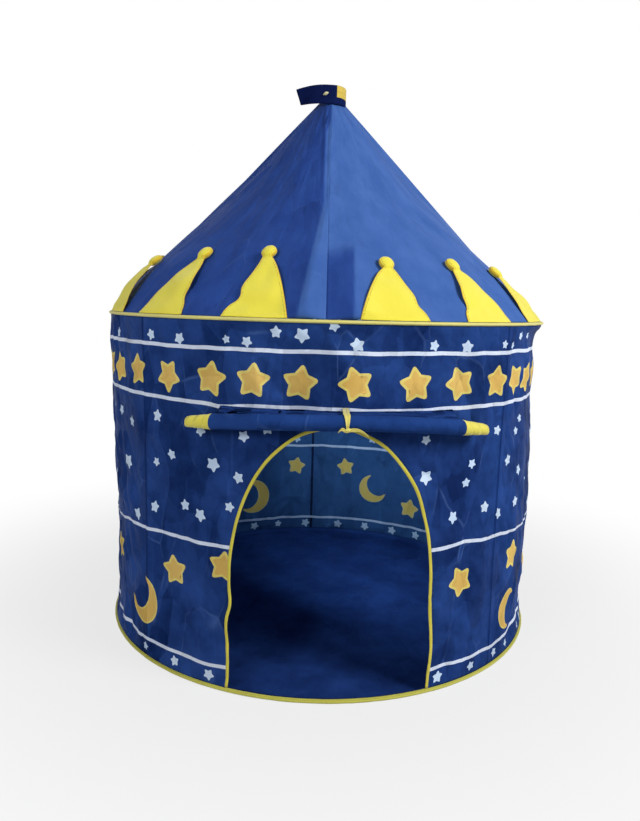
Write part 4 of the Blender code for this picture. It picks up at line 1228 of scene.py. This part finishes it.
def roof_relief(azimuth, along):
    radius = HOOP_RADIUS * (1 - along / ROOF_SLANT)
    distance = azimuth * HOOP_RADIUS
    share = along / ROOF_SLANT
    gathers = ROOF_GATHER_DEPTH * exp(-along / ROOF_GATHER_REACH)
    gathers *= ripple(distance / ROOF_GATHER_WIDTH, along / ROOF_GATHER_REACH, 6.4)
    soft = ROOF_SOFT_DEPTH * ripple(azimuth * 2.2, along / ROOF_SOFT_SPREAD, 2.9)
    drags = ROOF_DRAG_DEPTH * (0.5 - abs(ripple(azimuth * 14, along / ROOF_DRAG_SPREAD, 7.7)))
    edge = smoothstep(along / EDGE_FADE) * smoothstep((ROOF_SLANT - along) / ROOF_TIP_FADE)
    quarter_turn = azimuth / QUARTER
    to_rod = abs(quarter_turn - round(quarter_turn)) * QUARTER * max(radius, ROD_RADIUS)
    beside_rod = smoothstep(to_rod / ROOF_ROD_FADE)
    ridge = SEAM_RIDGE * (1 - smoothstep(to_rod / SEAM_WIDTH * 2 - 0.5))
    left = ROOF_LEFT_BULGE * sin(pi * min(share / 0.6, 1.0))
    left *= exp(-(shortest_turn(azimuth + QUARTER) / ROOF_LEFT_REACH) ** 2)
    right = ROOF_RIGHT_SAG * sin(pi * share)
    right *= exp(-(shortest_turn(azimuth - ROOF_RIGHT_SAG_PLACE) / ROOF_RIGHT_REACH) ** 2)
    relief = beside_rod * edge * (gathers + soft + drags - right) + edge * (ridge + left)
    return relief + front_folds(azimuth, along)


def roof_painted_shade(azimuth, along, on_left):
    """Painted shade: 1 on the left gores but for the fold by the front rod, and on the fold right of it."""
    aside = shortest_turn(azimuth) * HOOP_RADIUS * (1 - along / ROOF_SLANT)
    if not on_left:
        across = smoothstep((FRONT_CREASE_WIDTH - aside) / RIDGE_PLEAT_WIDTH)
        return across * smoothstep((FRONT_CREASE_REACH + EDGE_FADE - along) / FRONT_CREASE_WIDTH)
    reach = max(1 - along / (ROOF_SLANT * FRONT_FOLD_REACH_SHARE), 0.0)
    pleat = RIDGE_PLEAT_PLACE * smoothstep((RIDGE_PLEAT_TOP_SHARE - along / ROOF_SLANT) / 0.1)
    fold = FRONT_FOLD_WIDTH * reach + pleat
    return smoothstep((-aside - fold) / RIDGE_PLEAT_WIDTH + 1)


def roof_point(azimuth, along, off=0.0):
    flat = FLAT_SHARE * smoothstep((along / ROOF_SLANT - FLAT_FROM_SHARE) / FLAT_OVER_SHARE)
    square = 1 / (abs(sin(azimuth)) + abs(cos(azimuth)))
    out = off + roof_relief(azimuth, along)
    place = Vector((HOOP_RADIUS, EAVE_HEIGHT)) + SLOPE * along + SLOPE_NORMAL * out
    return at(azimuth, place.x * (1 - flat * (1 - square)), place.y)


def make_roof(outside):
    # The third colour is the roof lining's painted crease highlight.
    inside = nylon("roof_inside", srgb(30, 56, 108), srgb(42, 72, 130), srgb(60, 90, 150), 0.5, crease=0.35)
    low = BINDING_RADIUS + 2 * GAP
    high = ROOF_SLANT * (1 - ROOF_OPENING_RADIUS / HOOP_RADIUS)
    rows = evenly(low, high, ROOF_STEP)
    for i, side in enumerate(("front_right", "back_right", "back_left", "front_left")):
        first = QUARTER * i
        columns = evenly(first, first + QUARTER, ROOF_STEP / HOOP_RADIUS)
        points, faces = grid(columns, rows, roof_point)
        uvs = [(HOOP_RADIUS * azimuth, along) for azimuth in columns for along in rows]
        piece = add_piece(f"roof_gore_{side}_cloth", points, faces, (outside, inside), uvs)
        # Painted shade: where the roof's darker colours show.
        painted_shade_values = [roof_painted_shade(azimuth, along, side.endswith("left")) for azimuth in columns for along in rows]
        piece.data.attributes.new("painted_shade", "FLOAT", "POINT").data.foreach_set("value", painted_shade_values)
        thicken(piece, CLOTH, 1)
        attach(piece, "canopy")
        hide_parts(f"roof_gore_{side}")


def cap_radius(height, off):
    along = (height - EAVE_HEIGHT - SLOPE_NORMAL.y * off) / SLOPE.y
    return HOOP_RADIUS + SLOPE.x * along + SLOPE_NORMAL.x * off


def make_tip_cap(cloth):
    """A small fabric cone sewn over the gores' tips."""
    off = FABRIC / 2 + GAP + FABRIC / 2
    low = EAVE_HEIGHT + (ROOF_SLANT - CAP_SLANT) * SLOPE.y + SLOPE_NORMAL.y * off
    top = TIP_HEIGHT
    rows = evenly(low, top, CAP_STEP)
    columns = [FULL_TURN * i / CAP_COLUMNS for i in range(CAP_COLUMNS + 1)]

    def place(azimuth, height):
        square = 1 - FLAT_SHARE * (1 - 1 / (abs(sin(azimuth)) + abs(cos(azimuth))))
        tuck = smoothstep((height - low) / CAP_TUCK)
        radius = cap_radius(height, off) * square - (1 - tuck) * CLOTH
        closing = CAP_TOP_RADIUS * (1 - smoothstep((height - top + CAP_TOP_RADIUS) / CAP_TOP_RADIUS))
        return at(azimuth, max(radius, closing, GAP), height)

    points, faces = grid(columns, rows, place)
    uvs = [(azimuth * CAP_MEAN_RADIUS, height) for azimuth in columns for height in rows]
    piece = add_piece("tip_cap", points, faces, (cloth,), uvs)
    # Painted shade: the cap's left side takes the darker colours, as the left gores do.
    painted_shade_values = [1 - smoothstep(sin(azimuth) * 8 + 0.5) for azimuth in columns for _ in rows]
    piece.data.attributes.new("painted_shade", "FLOAT", "POINT").data.foreach_set("value", painted_shade_values)
    weld(piece)
    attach(piece, "canopy")
    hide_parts("apex_cap")


def strap_path():
    """The tip strap's middle line: free end on the left, across the front and round the right to the back."""
    off = FABRIC / 2 + GAP + FABRIC
    depth = cap_radius(STRAP_BOTTOM, off) + 3 * GAP
    path = []
    for i in range(STRAP_FREE_STEPS):
        share = 1 - i / STRAP_FREE_STEPS
        bow = STRAP_BOW * sin(pi * share * 1.6)
        path.append((-FLAG_LENGTH * share, -depth * (1 - 0.3 * share * share) - bow, share))
    for i in range(STRAP_LOOP_STEPS + 1):
        turn = -pi / 2 + pi * i / STRAP_LOOP_STEPS
        path.append((FLAG_LOOP_HALF_WIDTH * cos(turn), depth * sin(turn), 0.0))
    return path


def make_tip_strap():
    """Doubled navy cloth, whose yellow lining shows round the right of the tip, and a small knot."""
    # The strap's third colour, a violet, is its painted crease highlight.
    navy = nylon("strap_navy", srgb(12, 20, 56), srgb(22, 36, 88), srgb(70, 70, 150), roughness=0.5)
    lining_colours = (srgb(206, 172, 50), srgb(232, 206, 84), srgb(170, 140, 40))
    cord_colours = (srgb(206, 200, 150), srgb(230, 226, 180), srgb(170, 160, 110))
    lining = stitched_tape("strap_lining", *lining_colours, STRAP_STITCH_LINE)
    cord = stitched_tape("strap_cord", *cord_colours, CORD_STITCH_LINE)
    path = strap_path()
    rows = evenly(0, 1, 0.125)
    turned = next(i for i, (x, _, _) in enumerate(path) if x > FLAG_LOOP_HALF_WIDTH * 0.35)
    points, uvs = [], []
    for i, (x, y, free) in enumerate(path):
        for share in rows:
            slant = STRAP_END_SLANT * (1 - share) * smoothstep((free - 0.6) / 0.4)
            droop = STRAP_DROOP * free ** 3 * share
            fold = STRAP_FOLD * sin(pi * share * 2.5 + free * 2) * (0.3 + free)
            points.append(Vector((x + slant, y + fold, STRAP_BOTTOM + STRAP_WIDTH * share - droop)))
            uvs.append((i * STRAP_STEP, share * STRAP_WIDTH))
    count = len(rows)
    faces, kinds = [], []
    for i in range(len(path) - 1):
        for j in range(count - 1):
            low = i * count + j
            faces.append((low, low + count, low + count + 1, low + 1))
            kinds.append(1 if i >= turned and j > count / 4 else 0)
    piece = add_piece("tip_strap", points, faces, (navy, lining), uvs, kinds)
    thicken(piece, 2 * CLOTH)
    front = min(y for _, y, _ in path) - STRAP_BOW
    centre = Vector((STRAP_KNOT_PLACE, front, STRAP_BOTTOM + STRAP_WIDTH * 0.50))
    knot = make_knot("tip_strap_knot", centre, Vector((1, 0, 0.4)), Vector((0, -1, 0)), STRAP_KNOT_LENGTH,
                     STRAP_KNOT_RADIUS, cord)
    for made in (piece, knot):
        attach(made, "canopy")
    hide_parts("apex_flag")


def make_knot(name, centre, along, out, length, radius, cloth):
    """A small pulled knot: a lumpy bead along one direction."""
    along = along.normalized()
    side = along.cross(out).normalized()
    rings, lengths = [], []
    steps = 12
    for i in range(steps + 1):
        share = i / steps
        girth = max(sin(pi * share), 0.02) ** 0.6 * radius
        ring = []
        for j in range(steps + 1):
            turn = FULL_TURN * j / steps
            swell = girth * (1 + 0.18 * cos(3 * turn + 5 * share))
            middle = centre + along * length * (share - 0.5)
            ring.append(middle + out * swell * cos(turn) + side * swell * sin(turn))
        rings.append(ring)
        lengths.append(share * length)
    girths = [FULL_TURN * radius * j / steps for j in range(steps + 1)]
    return sweep(name, rings, lengths, girths, (cloth,), cap=True)


# Crown points

def look_up(shares, share):
    """Straight lines between the rows of a table of shares."""
    for (low, first), (high, second) in zip(shares, shares[1:]):
        if share <= high:
            return first + (second - first) * (share - low) / (high - low)
    return shares[-1][1]


def crown_shape(index):
    """How one point was sewn: as the photograph shows it, or near that for the points on the far side."""
    if index in CROWN_AS_SEWN:
        return CROWN_AS_SEWN[index]
    random = Random(PRINT_SEED + index)
    shift = radians(random.uniform(*CROWN_SHIFT_DEGREES))
    width, length = random.uniform(*CROWN_WIDTH_SHARES), random.uniform(*CROWN_LENGTH_SHARES)
    lean, wavy_side = random.uniform(*CROWN_LEANS), random.choice((-1, 1))
    waviness, belly = random.uniform(*CROWN_WAVINESS_SHARES), random.uniform(*CROWN_BELLIES)
    return shift, width, length, lean, wavy_side, waviness, belly


def crown_edges(height, length, width, lean, wavy_side, waviness):
    """Left and right edges of the point at a height, with the ball at its tip."""
    neck = length - CROWN_SOFT_BALL_RADIUS * 0.75
    share = min(height / neck, 1.0)
    straight = (1 - share) ** 0.7 + 0.10 * share
    wavy = straight + (look_up(CROWN_WAVY_SHARES, share) - straight) * waviness
    from_ball = (height - length) / CROWN_SOFT_BALL_RADIUS
    ball = CROWN_SOFT_BALL_RADIUS * sqrt(max(1 - from_ball * from_ball, 0.0)) if abs(from_ball) < 1 else 0.0
    halves = [width / 2 * straight, width / 2 * straight]
    halves[0 if wavy_side < 0 else 1] = width / 2 * wavy
    if height > neck:
        halves = [ball, ball]
    middle = lean * share
    return middle - max(halves[0], ball), middle + max(halves[1], ball)


def crown_surface(index, width, length, lean, wavy_side, waviness, belly):
    """Rows of a point's two faces in its own frame: across, up the slope, and out from the roof."""
    top = length + CROWN_SOFT_BALL_RADIUS
    neck = length - CROWN_SOFT_BALL_RADIUS
    heights = evenly(-CROWN_BASE_DROP, neck * 0.97, CROWN_STEP) + evenly(neck, top - GAP, CROWN_BALL_STEP)
    rows = []
    for height in heights:
        left, right = crown_edges(height, length, width, lean, wavy_side, waviness)
        share = height / top
        from_ball = min(abs(height - length) / CROWN_SOFT_BALL_RADIUS, 1.0)
        ball = sqrt(max(1 - from_ball * from_ball, 0.0))
        puff = CROWN_THICKNESS + (CROWN_BALL_THICKNESS - CROWN_THICKNESS) * ball
        lift = CROWN_STAND_OFF * sin(pi / 2 * min(share * 1.3, 1.0)) * smoothstep(share / 0.3)
        lift += CROWN_LIFT_SWING * ripple(height / CROWN_LIFT_SPREAD, index, 1.1) * smoothstep(share / 0.2)
        lift += belly * sin(pi * min(max(share, 0.0), 1.0) ** 0.6)
        row = []
        for x in CROWN_ACROSS_SHARES:
            place = (left + right) / 2 + (right - left) / 2 * x
            edge = (1 - abs(x)) * (right - left) / 2
            aside, above = place / CROWN_WOBBLE_SPREAD_ROUND, height / CROWN_WOBBLE_SPREAD_UP
            wobble = CROWN_WOBBLE * ripple(aside, above, index * 1.9) * smoothstep(share / 0.2) * (1 - ball)
            round_share = sqrt(max(1 - abs(x) ** (6 - 4 * ball), 0.0))
            row.append((place, height, max(lift + wobble, 0.0), puff * round_share / 2, edge))
        rows.append(row)
    return rows


def make_crown_point(index, cloth):
    shift, width, length, *sewn = crown_shape(index)
    azimuth = FULL_TURN * (index + 0.5) / CROWN_POINTS + shift
    rows = crown_surface(index, CROWN_WIDTH * width, CROWN_LENGTH * length, *sewn)
    count = len(rows[0])
    points, uvs, edges = [], [], []
    for back in (False, True):
        for row in rows:
            for x, y, lift, thick, edge in row:
                along = CROWN_ABOVE_HOOP + y
                radius = HOOP_RADIUS * (1 - along / ROOF_SLANT)
                off = FABRIC / 2 + GAP + CROWN_THICKNESS / 2 + lift + (-thick if back else thick)
                points.append(roof_point(azimuth + x / radius, along, off))
                uvs.append((x, y))
                edges.append(edge)
    faces = []
    half = len(rows) * count
    for i in range(len(rows) - 1):
        for j in range(count - 1):
            low = i * count + j
            quad = (low, low + 1, low + count + 1, low + count)
            faces.append(quad)
            faces.append(tuple(half + k for k in reversed(quad)))
    for j in range(count - 1):
        faces.append((half + j, half + j + 1, j + 1, j))
        top = half - count + j
        faces.append((top, top + 1, half + top + 1, half + top))
    name = f"crown_point_{index + 1:02d}"
    piece = add_piece(name + "_soft", points, faces, (cloth,), uvs)
    layer = piece.data.attributes.new("edge_distance", "FLOAT", "POINT")
    layer.data.foreach_set("value", edges)
    weld(piece)
    smooth = piece.modifiers.new("smooth", "SUBSURF")
    smooth.levels = smooth.render_levels = 1
    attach(piece, f"crown_{index + 1:02d}")
    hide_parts(name)


def make_crown():
    cloth = crown_cloth()
    for index in range(CROWN_POINTS):
        make_crown_point(index, cloth)


# Rolled door flap

def roll_height(azimuth):
    half = (ROLL_LENGTH / 2 + ROLL_END_LENGTH) / ROLL_CIRCLE
    share = (azimuth - ROLL_AZIMUTH) / half
    droop = ROLL_DROOP * (ROLL_LEFT_DROOP_SHARE if share < 0 else 1.0)
    return ROLL_HEIGHT - droop * share * share


def make_roll():
    """The flap wound on itself. Its inner turns are wider, so that its bound edges show as tapered ends."""
    # The third colour is the flap's painted crease highlight.
    navy = nylon("flap_navy", srgb(26, 54, 112), srgb(42, 76, 146), srgb(92, 128, 196), crease=1.0)
    hem_colours = (srgb(222, 206, 56), srgb(242, 232, 104), srgb(200, 172, 40))
    hem = stitched_tape("flap_hem", *hem_colours, HEM_STITCH_LINE)
    steps_per_turn = 24
    steps = ROLL_TURNS * steps_per_turn
    body_columns, hem_columns = 64, 6
    shares = [2 * i / body_columns - 1 for i in range(body_columns + 1)]
    hems = [i / hem_columns for i in range(1, hem_columns + 1)]
    columns = [(-1, -share) for share in reversed(hems)]
    columns += [(share, 0.0) for share in shares] + [(1, share) for share in hems]
    core = ROLL_RADIUS - ROLL_TURNS * ROLL_PITCH
    points, uvs, faces, kinds = [], [], [], []
    wound = 0.0
    for i in range(steps + 1):
        turn = pi - FULL_TURN * i / steps_per_turn
        radius = ROLL_RADIUS + (core - ROLL_RADIUS) * i / steps
        wound += radius * FULL_TURN / steps_per_turn
        growth = min((ROLL_RADIUS - radius) / (ROLL_RADIUS - ROLL_SOFT_TIP_RADIUS), 1.0)
        before = max(growth - ROLL_PITCH * 1.5 / (ROLL_RADIUS - ROLL_SOFT_TIP_RADIUS), 0.0)
        for share, into in columns:
            end = ROLL_END_LENGTH * (ROLL_LEFT_END_SHARE if share < 0 else 1.0)
            body_half = ROLL_LENGTH / 2 + end * before
            along = share * body_half + into * (end * (growth - before) + ROLL_HEM) + ROLL_SHIFT
            azimuth = ROLL_AZIMUTH + along / ROLL_CIRCLE
            inside = smoothstep((1 - abs(share)) * body_half / ROLL_DENT_FADE)
            dent = ROLL_DENT * abs(ripple(along / ROLL_DENT_SPREAD + turn * 0.5, turn, 3.9)) * inside
            reach = radius - dent - abs(into) * ROLL_PITCH
            height = roll_height(azimuth) + reach * sin(turn)
            points.append(at(azimuth, ROLL_CIRCLE + reach * cos(turn), height))
            uvs.append((along, wound))
    count = len(columns)
    for i in range(steps):
        for j in range(count - 1):
            low = i * count + j
            faces.append((low, low + 1, low + count + 1, low + count))
            kinds.append(1 if j < hem_columns or j >= count - 1 - hem_columns else 0)
    piece = add_piece("door_flap_roll", points, faces, (navy, hem), uvs, kinds)
    thicken(piece, CLOTH)
    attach(piece, "door_roll")
    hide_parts("door_roll", "door_roll_end_left", "door_roll_end_right")


def make_flap_strip(cloth):
    """The flap's free cloth between its seam and the roll."""
    half = (ROLL_LENGTH / 2 - STRIP_INSET) / ROLL_CIRCLE
    middle = ROLL_AZIMUTH + ROLL_SHIFT / ROLL_CIRCLE
    columns = evenly(middle - half, middle + half, CLOTH_STEP / HOOP_RADIUS)
    rows = evenly(0, 1, 0.025)
    behind = ROLL_CIRCLE - ROLL_RADIUS * STRIP_INTO_ROLL_SHARE

    def place(azimuth, share):
        height = roll_height(azimuth)
        seam = wall_point(azimuth, FLAP_SEAM_HEIGHT)
        radius = hypot(seam.x, seam.y) + CLOTH + GAP
        top = at(azimuth, radius, max(seam.z, FLAP_SEAM_HEIGHT))
        fold = STRIP_FOLD * sin(pi * share) * ripple(azimuth * 14, share, 8.1)
        out = radius + (behind + fold - radius) * smoothstep(share / STRIP_STEP_SHARE)
        return at(azimuth, out, top.z + (height - top.z) * share)

    points, faces = grid(columns, rows, place)
    uvs = [(HOOP_RADIUS * azimuth, share * FLAP_LENGTH) for azimuth in columns for share in rows]
    piece = add_piece("door_flap_free_cloth", points, faces, (cloth,), uvs)
    thicken(piece, CLOTH)
    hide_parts("door_flap_strip")
    start = at(ROLL_AZIMUTH, HOOP_RADIUS, FLAP_SEAM_HEIGHT)
    end = at(ROLL_AZIMUTH, HOOP_RADIUS, ROLL_HEIGHT)
    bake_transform(piece)


def tie_point(out, height, aside):
    return at(ROLL_AZIMUTH, out, height) + at(ROLL_AZIMUTH + pi / 2, 1, 0) * aside


def make_tie():
    """A ribbon over the roll's front, gathered into a small knot below it, with a short and a long tail."""
    colours = (srgb(222, 204, 84), srgb(242, 232, 136), srgb(196, 170, 60))
    ribbon = stitched_tape("tie_ribbon", *colours, RIBBON_STITCH_LINE)
    reach = ROLL_RADIUS + 3 * GAP
    seam_height = FLAP_SEAM_HEIGHT + FLAP_SEAM_RISE
    seam = wall_point(ROLL_AZIMUTH, seam_height)
    path = [(hypot(seam.x, seam.y) + FABRIC, seam_height + TIE_SEAM_RISE)]
    steps = 14
    for i in range(steps + 1):
        turn = radians(TIE_START_DEGREES) - radians(TIE_START_DEGREES + TIE_KNOT_DEGREES) * i / steps
        path.append((ROLL_CIRCLE + reach * cos(turn), ROLL_HEIGHT + reach * sin(turn)))
    columns = evenly(-0.5, 0.5, 0.1)
    last = len(path) - 1

    def band_place(i, x):
        gather = 1 - TIE_GATHER_SHARE * smoothstep((i - 3) / (last - 3))
        crimp = TIE_CRIMP * cos(x * 14) * (1 - gather)
        return tie_point(path[i][0] + crimp, path[i][1], TIE_WIDTH * x * gather)

    points, faces = grid(range(last + 1), columns, band_place)
    uvs = [(i * TIE_STEP, TIE_WIDTH * x) for i in range(last + 1) for x in columns]
    band = add_piece("door_tie_ribbon", points, faces, (ribbon,), uvs)
    thicken(band, CLOTH)
    out, low = path[-1]
    outward = at(ROLL_AZIMUTH, 1, 0)
    across = at(ROLL_AZIMUTH + pi / 2, 1, 0)
    centre = tie_point(out + TIE_KNOT_RADIUS / 2, low, 0)
    knot = make_knot("door_tie_knot", centre, across + Vector((0, 0, 0.25)), outward, TIE_KNOT_LENGTH,
                     TIE_KNOT_RADIUS, ribbon)
    tails = []
    for name, side, length, drop in TIE_TAILS:
        def tail_place(share, x, side=side, length=length, drop=drop):
            bow = TIE_TAIL_BOW * sin(pi * share)
            twist = TIE_TWIST * share
            aside = side * (TIE_KNOT_LENGTH / 3 + length * share)
            height = low + bow - drop * share * share + TIE_TAIL_WIDTH * x * cos(twist)
            stand = out + TIE_KNOT_RADIUS / 2 + bow / 2 + TIE_TAIL_WIDTH * x * sin(twist) / 2
            return tie_point(stand, height, aside)

        shares = evenly(0, 1, 0.08)
        points, faces = grid(shares, columns, tail_place)
        uvs = [(share * length, TIE_TAIL_WIDTH * x) for share in shares for x in columns]
        tail = add_piece(name, points, faces, (ribbon,), uvs)
        thicken(tail, CLOTH)
        tails.append(tail)
    anchor = at(ROLL_AZIMUTH, ROLL_CIRCLE - ROLL_RADIUS + FABRIC, ROLL_HEIGHT)
    for piece in [band, knot] + tails:
        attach(piece, "door_flap")
        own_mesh(piece)
    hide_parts("door_tie")


# CAD nodes that keep their own shape

def dress_cad_nodes():
    chosen = {
        "pole_plastic": plastic("pole_white", srgb(214, 214, 208), srgb(228, 228, 222), 0.38),
        "ferrule_plastic": plastic("ferrule_grey", srgb(70, 74, 82), srgb(86, 90, 98), 0.45),
        "hub_plastic": plastic("hub_grey", srgb(52, 56, 66), srgb(66, 70, 80), 0.5),
        "spring_steel": drawn_wire("hoop_wire"),
        "pocket_web": webbing("pocket_webbing"),
    }
    slots = {row["node"]: row["material_slot"] for row in frame["record"]["subparts"]}
    for node, obj in frame["nodes"].items():
        made = chosen.get(slots[node])
        if made is not None:
            for i in range(len(obj.material_slots)):
                obj.material_slots[i].material = made


# Stage

def straight_rays(tree):
    """1 for what the camera sees, directly, in a gloss or through something clear."""
    rays = add_node(tree, "ShaderNodeLightPath", {}).outputs
    seen = math_node(tree, "MAXIMUM", rays["Is Camera Ray"], rays["Is Glossy Ray"])
    return math_node(tree, "MAXIMUM", seen, rays["Is Transmission Ray"])


def make_stage():
    """A pale floor that shows as white and keeps the tent's shadow."""
    corners = ((-1, -1), (1, -1), (1, 1), (-1, 1))
    points = [(x * STAGE_REACH, y * STAGE_REACH, -GAP) for x, y in corners]
    made = bpy.data.materials.new("studio_floor")
    made.use_nodes = True
    tree = made.node_tree
    shader = tree.nodes["Principled BSDF"]
    shader.inputs["Base Color"].default_value = (0.55, 0.55, 0.55, 1.0)
    shader.inputs["Roughness"].default_value = 0.9
    white = add_node(tree, "ShaderNodeEmission", {"Color": WHITE, "Strength": 1.0})
    place = add_node(tree, "ShaderNodeTexCoord", {}).outputs["Object"]
    distance = vector_node(tree, "LENGTH", place)["Value"]
    far = map_range(tree, distance, *STAGE_FADE, STAGE_NEAR_SHARE, 1.0, interpolation_type="SMOOTHSTEP")
    seen = math_node(tree, "MULTIPLY", straight_rays(tree), far)
    shown = {0: seen, 1: shader.outputs["BSDF"], 2: white.outputs["Emission"]}
    mixed = add_node(tree, "ShaderNodeMixShader", shown)
    tree.links.new(mixed.outputs[0], tree.nodes["Material Output"].inputs["Surface"])
    floor = add_piece("studio_floor", points, [(0, 1, 2, 3)], (made,))


def make_world():
    world = bpy.data.worlds.new("studio")
    bpy.context.scene.world = world
    world.use_nodes = True
    tree = world.node_tree
    light = tree.nodes["Background"]
    light.inputs["Color"].default_value = WORLD_LIGHT
    light.inputs["Strength"].default_value = WORLD_STRENGTH
    white = add_node(tree, "ShaderNodeBackground", {"Color": WHITE, "Strength": 1.0})
    shown = {0: straight_rays(tree), 1: light.outputs[0], 2: white.outputs[0]}
    mixed = add_node(tree, "ShaderNodeMixShader", shown)
    tree.links.new(mixed.outputs[0], tree.nodes["World Output"].inputs["Surface"])


def make_lamp(name, place, target, size, power, colour):
    lamp = bpy.data.lights.new(name, "AREA")
    lamp.shape = "DISK"
    lamp.size = size
    lamp.energy = power
    lamp.color = colour
    obj = bpy.data.objects.new(name, lamp)
    obj.location = place
    obj.visible_camera = False
    obj.rotation_mode = "QUATERNION"
    obj.rotation_quaternion = (Vector(target) - Vector(place)).to_track_quat("-Z", "Y")
    bpy.context.scene.collection.objects.link(obj)


def make_camera():
    right, top, forward = camera_axes()
    stand = Matrix((right, top, -forward)).transposed().to_4x4()
    stand.translation = Vector(CAMERA_PLACE)
    data = bpy.data.cameras.new("camera")
    data.sensor_width = SENSOR_MM
    data.sensor_fit = "AUTO"
    data.lens = CAMERA_LENS_MM
    camera = bpy.data.objects.new("camera", data)
    camera.matrix_world = stand
    bpy.context.scene.collection.objects.link(camera)
    bpy.context.scene.camera = camera


make_camera()
make_walls()
make_door_tape()
make_hoop_tapes()
make_floor_cloth()
# Roof: first pair lit cloth, second pair the same cloth in painted shade, third colour the painted crease
# highlight.
ROOF_BLUE = nylon("roof_blue", srgb(64, 100, 170), srgb(78, 114, 184), srgb(112, 148, 208), crease=0.35,
                  painted_shade_colours=(srgb(42, 70, 142), srgb(52, 84, 160)))
make_roof(ROOF_BLUE)
make_tip_cap(ROOF_BLUE)
make_tip_strap()
make_crown()
make_roll()
make_flap_strip(NAVY)
make_tie()
dress_cad_nodes()
make_stage()
make_world()
for lamp_row in LAMPS:
    make_lamp(*lamp_row)
bpy.context.scene.view_settings.view_transform = "Standard"
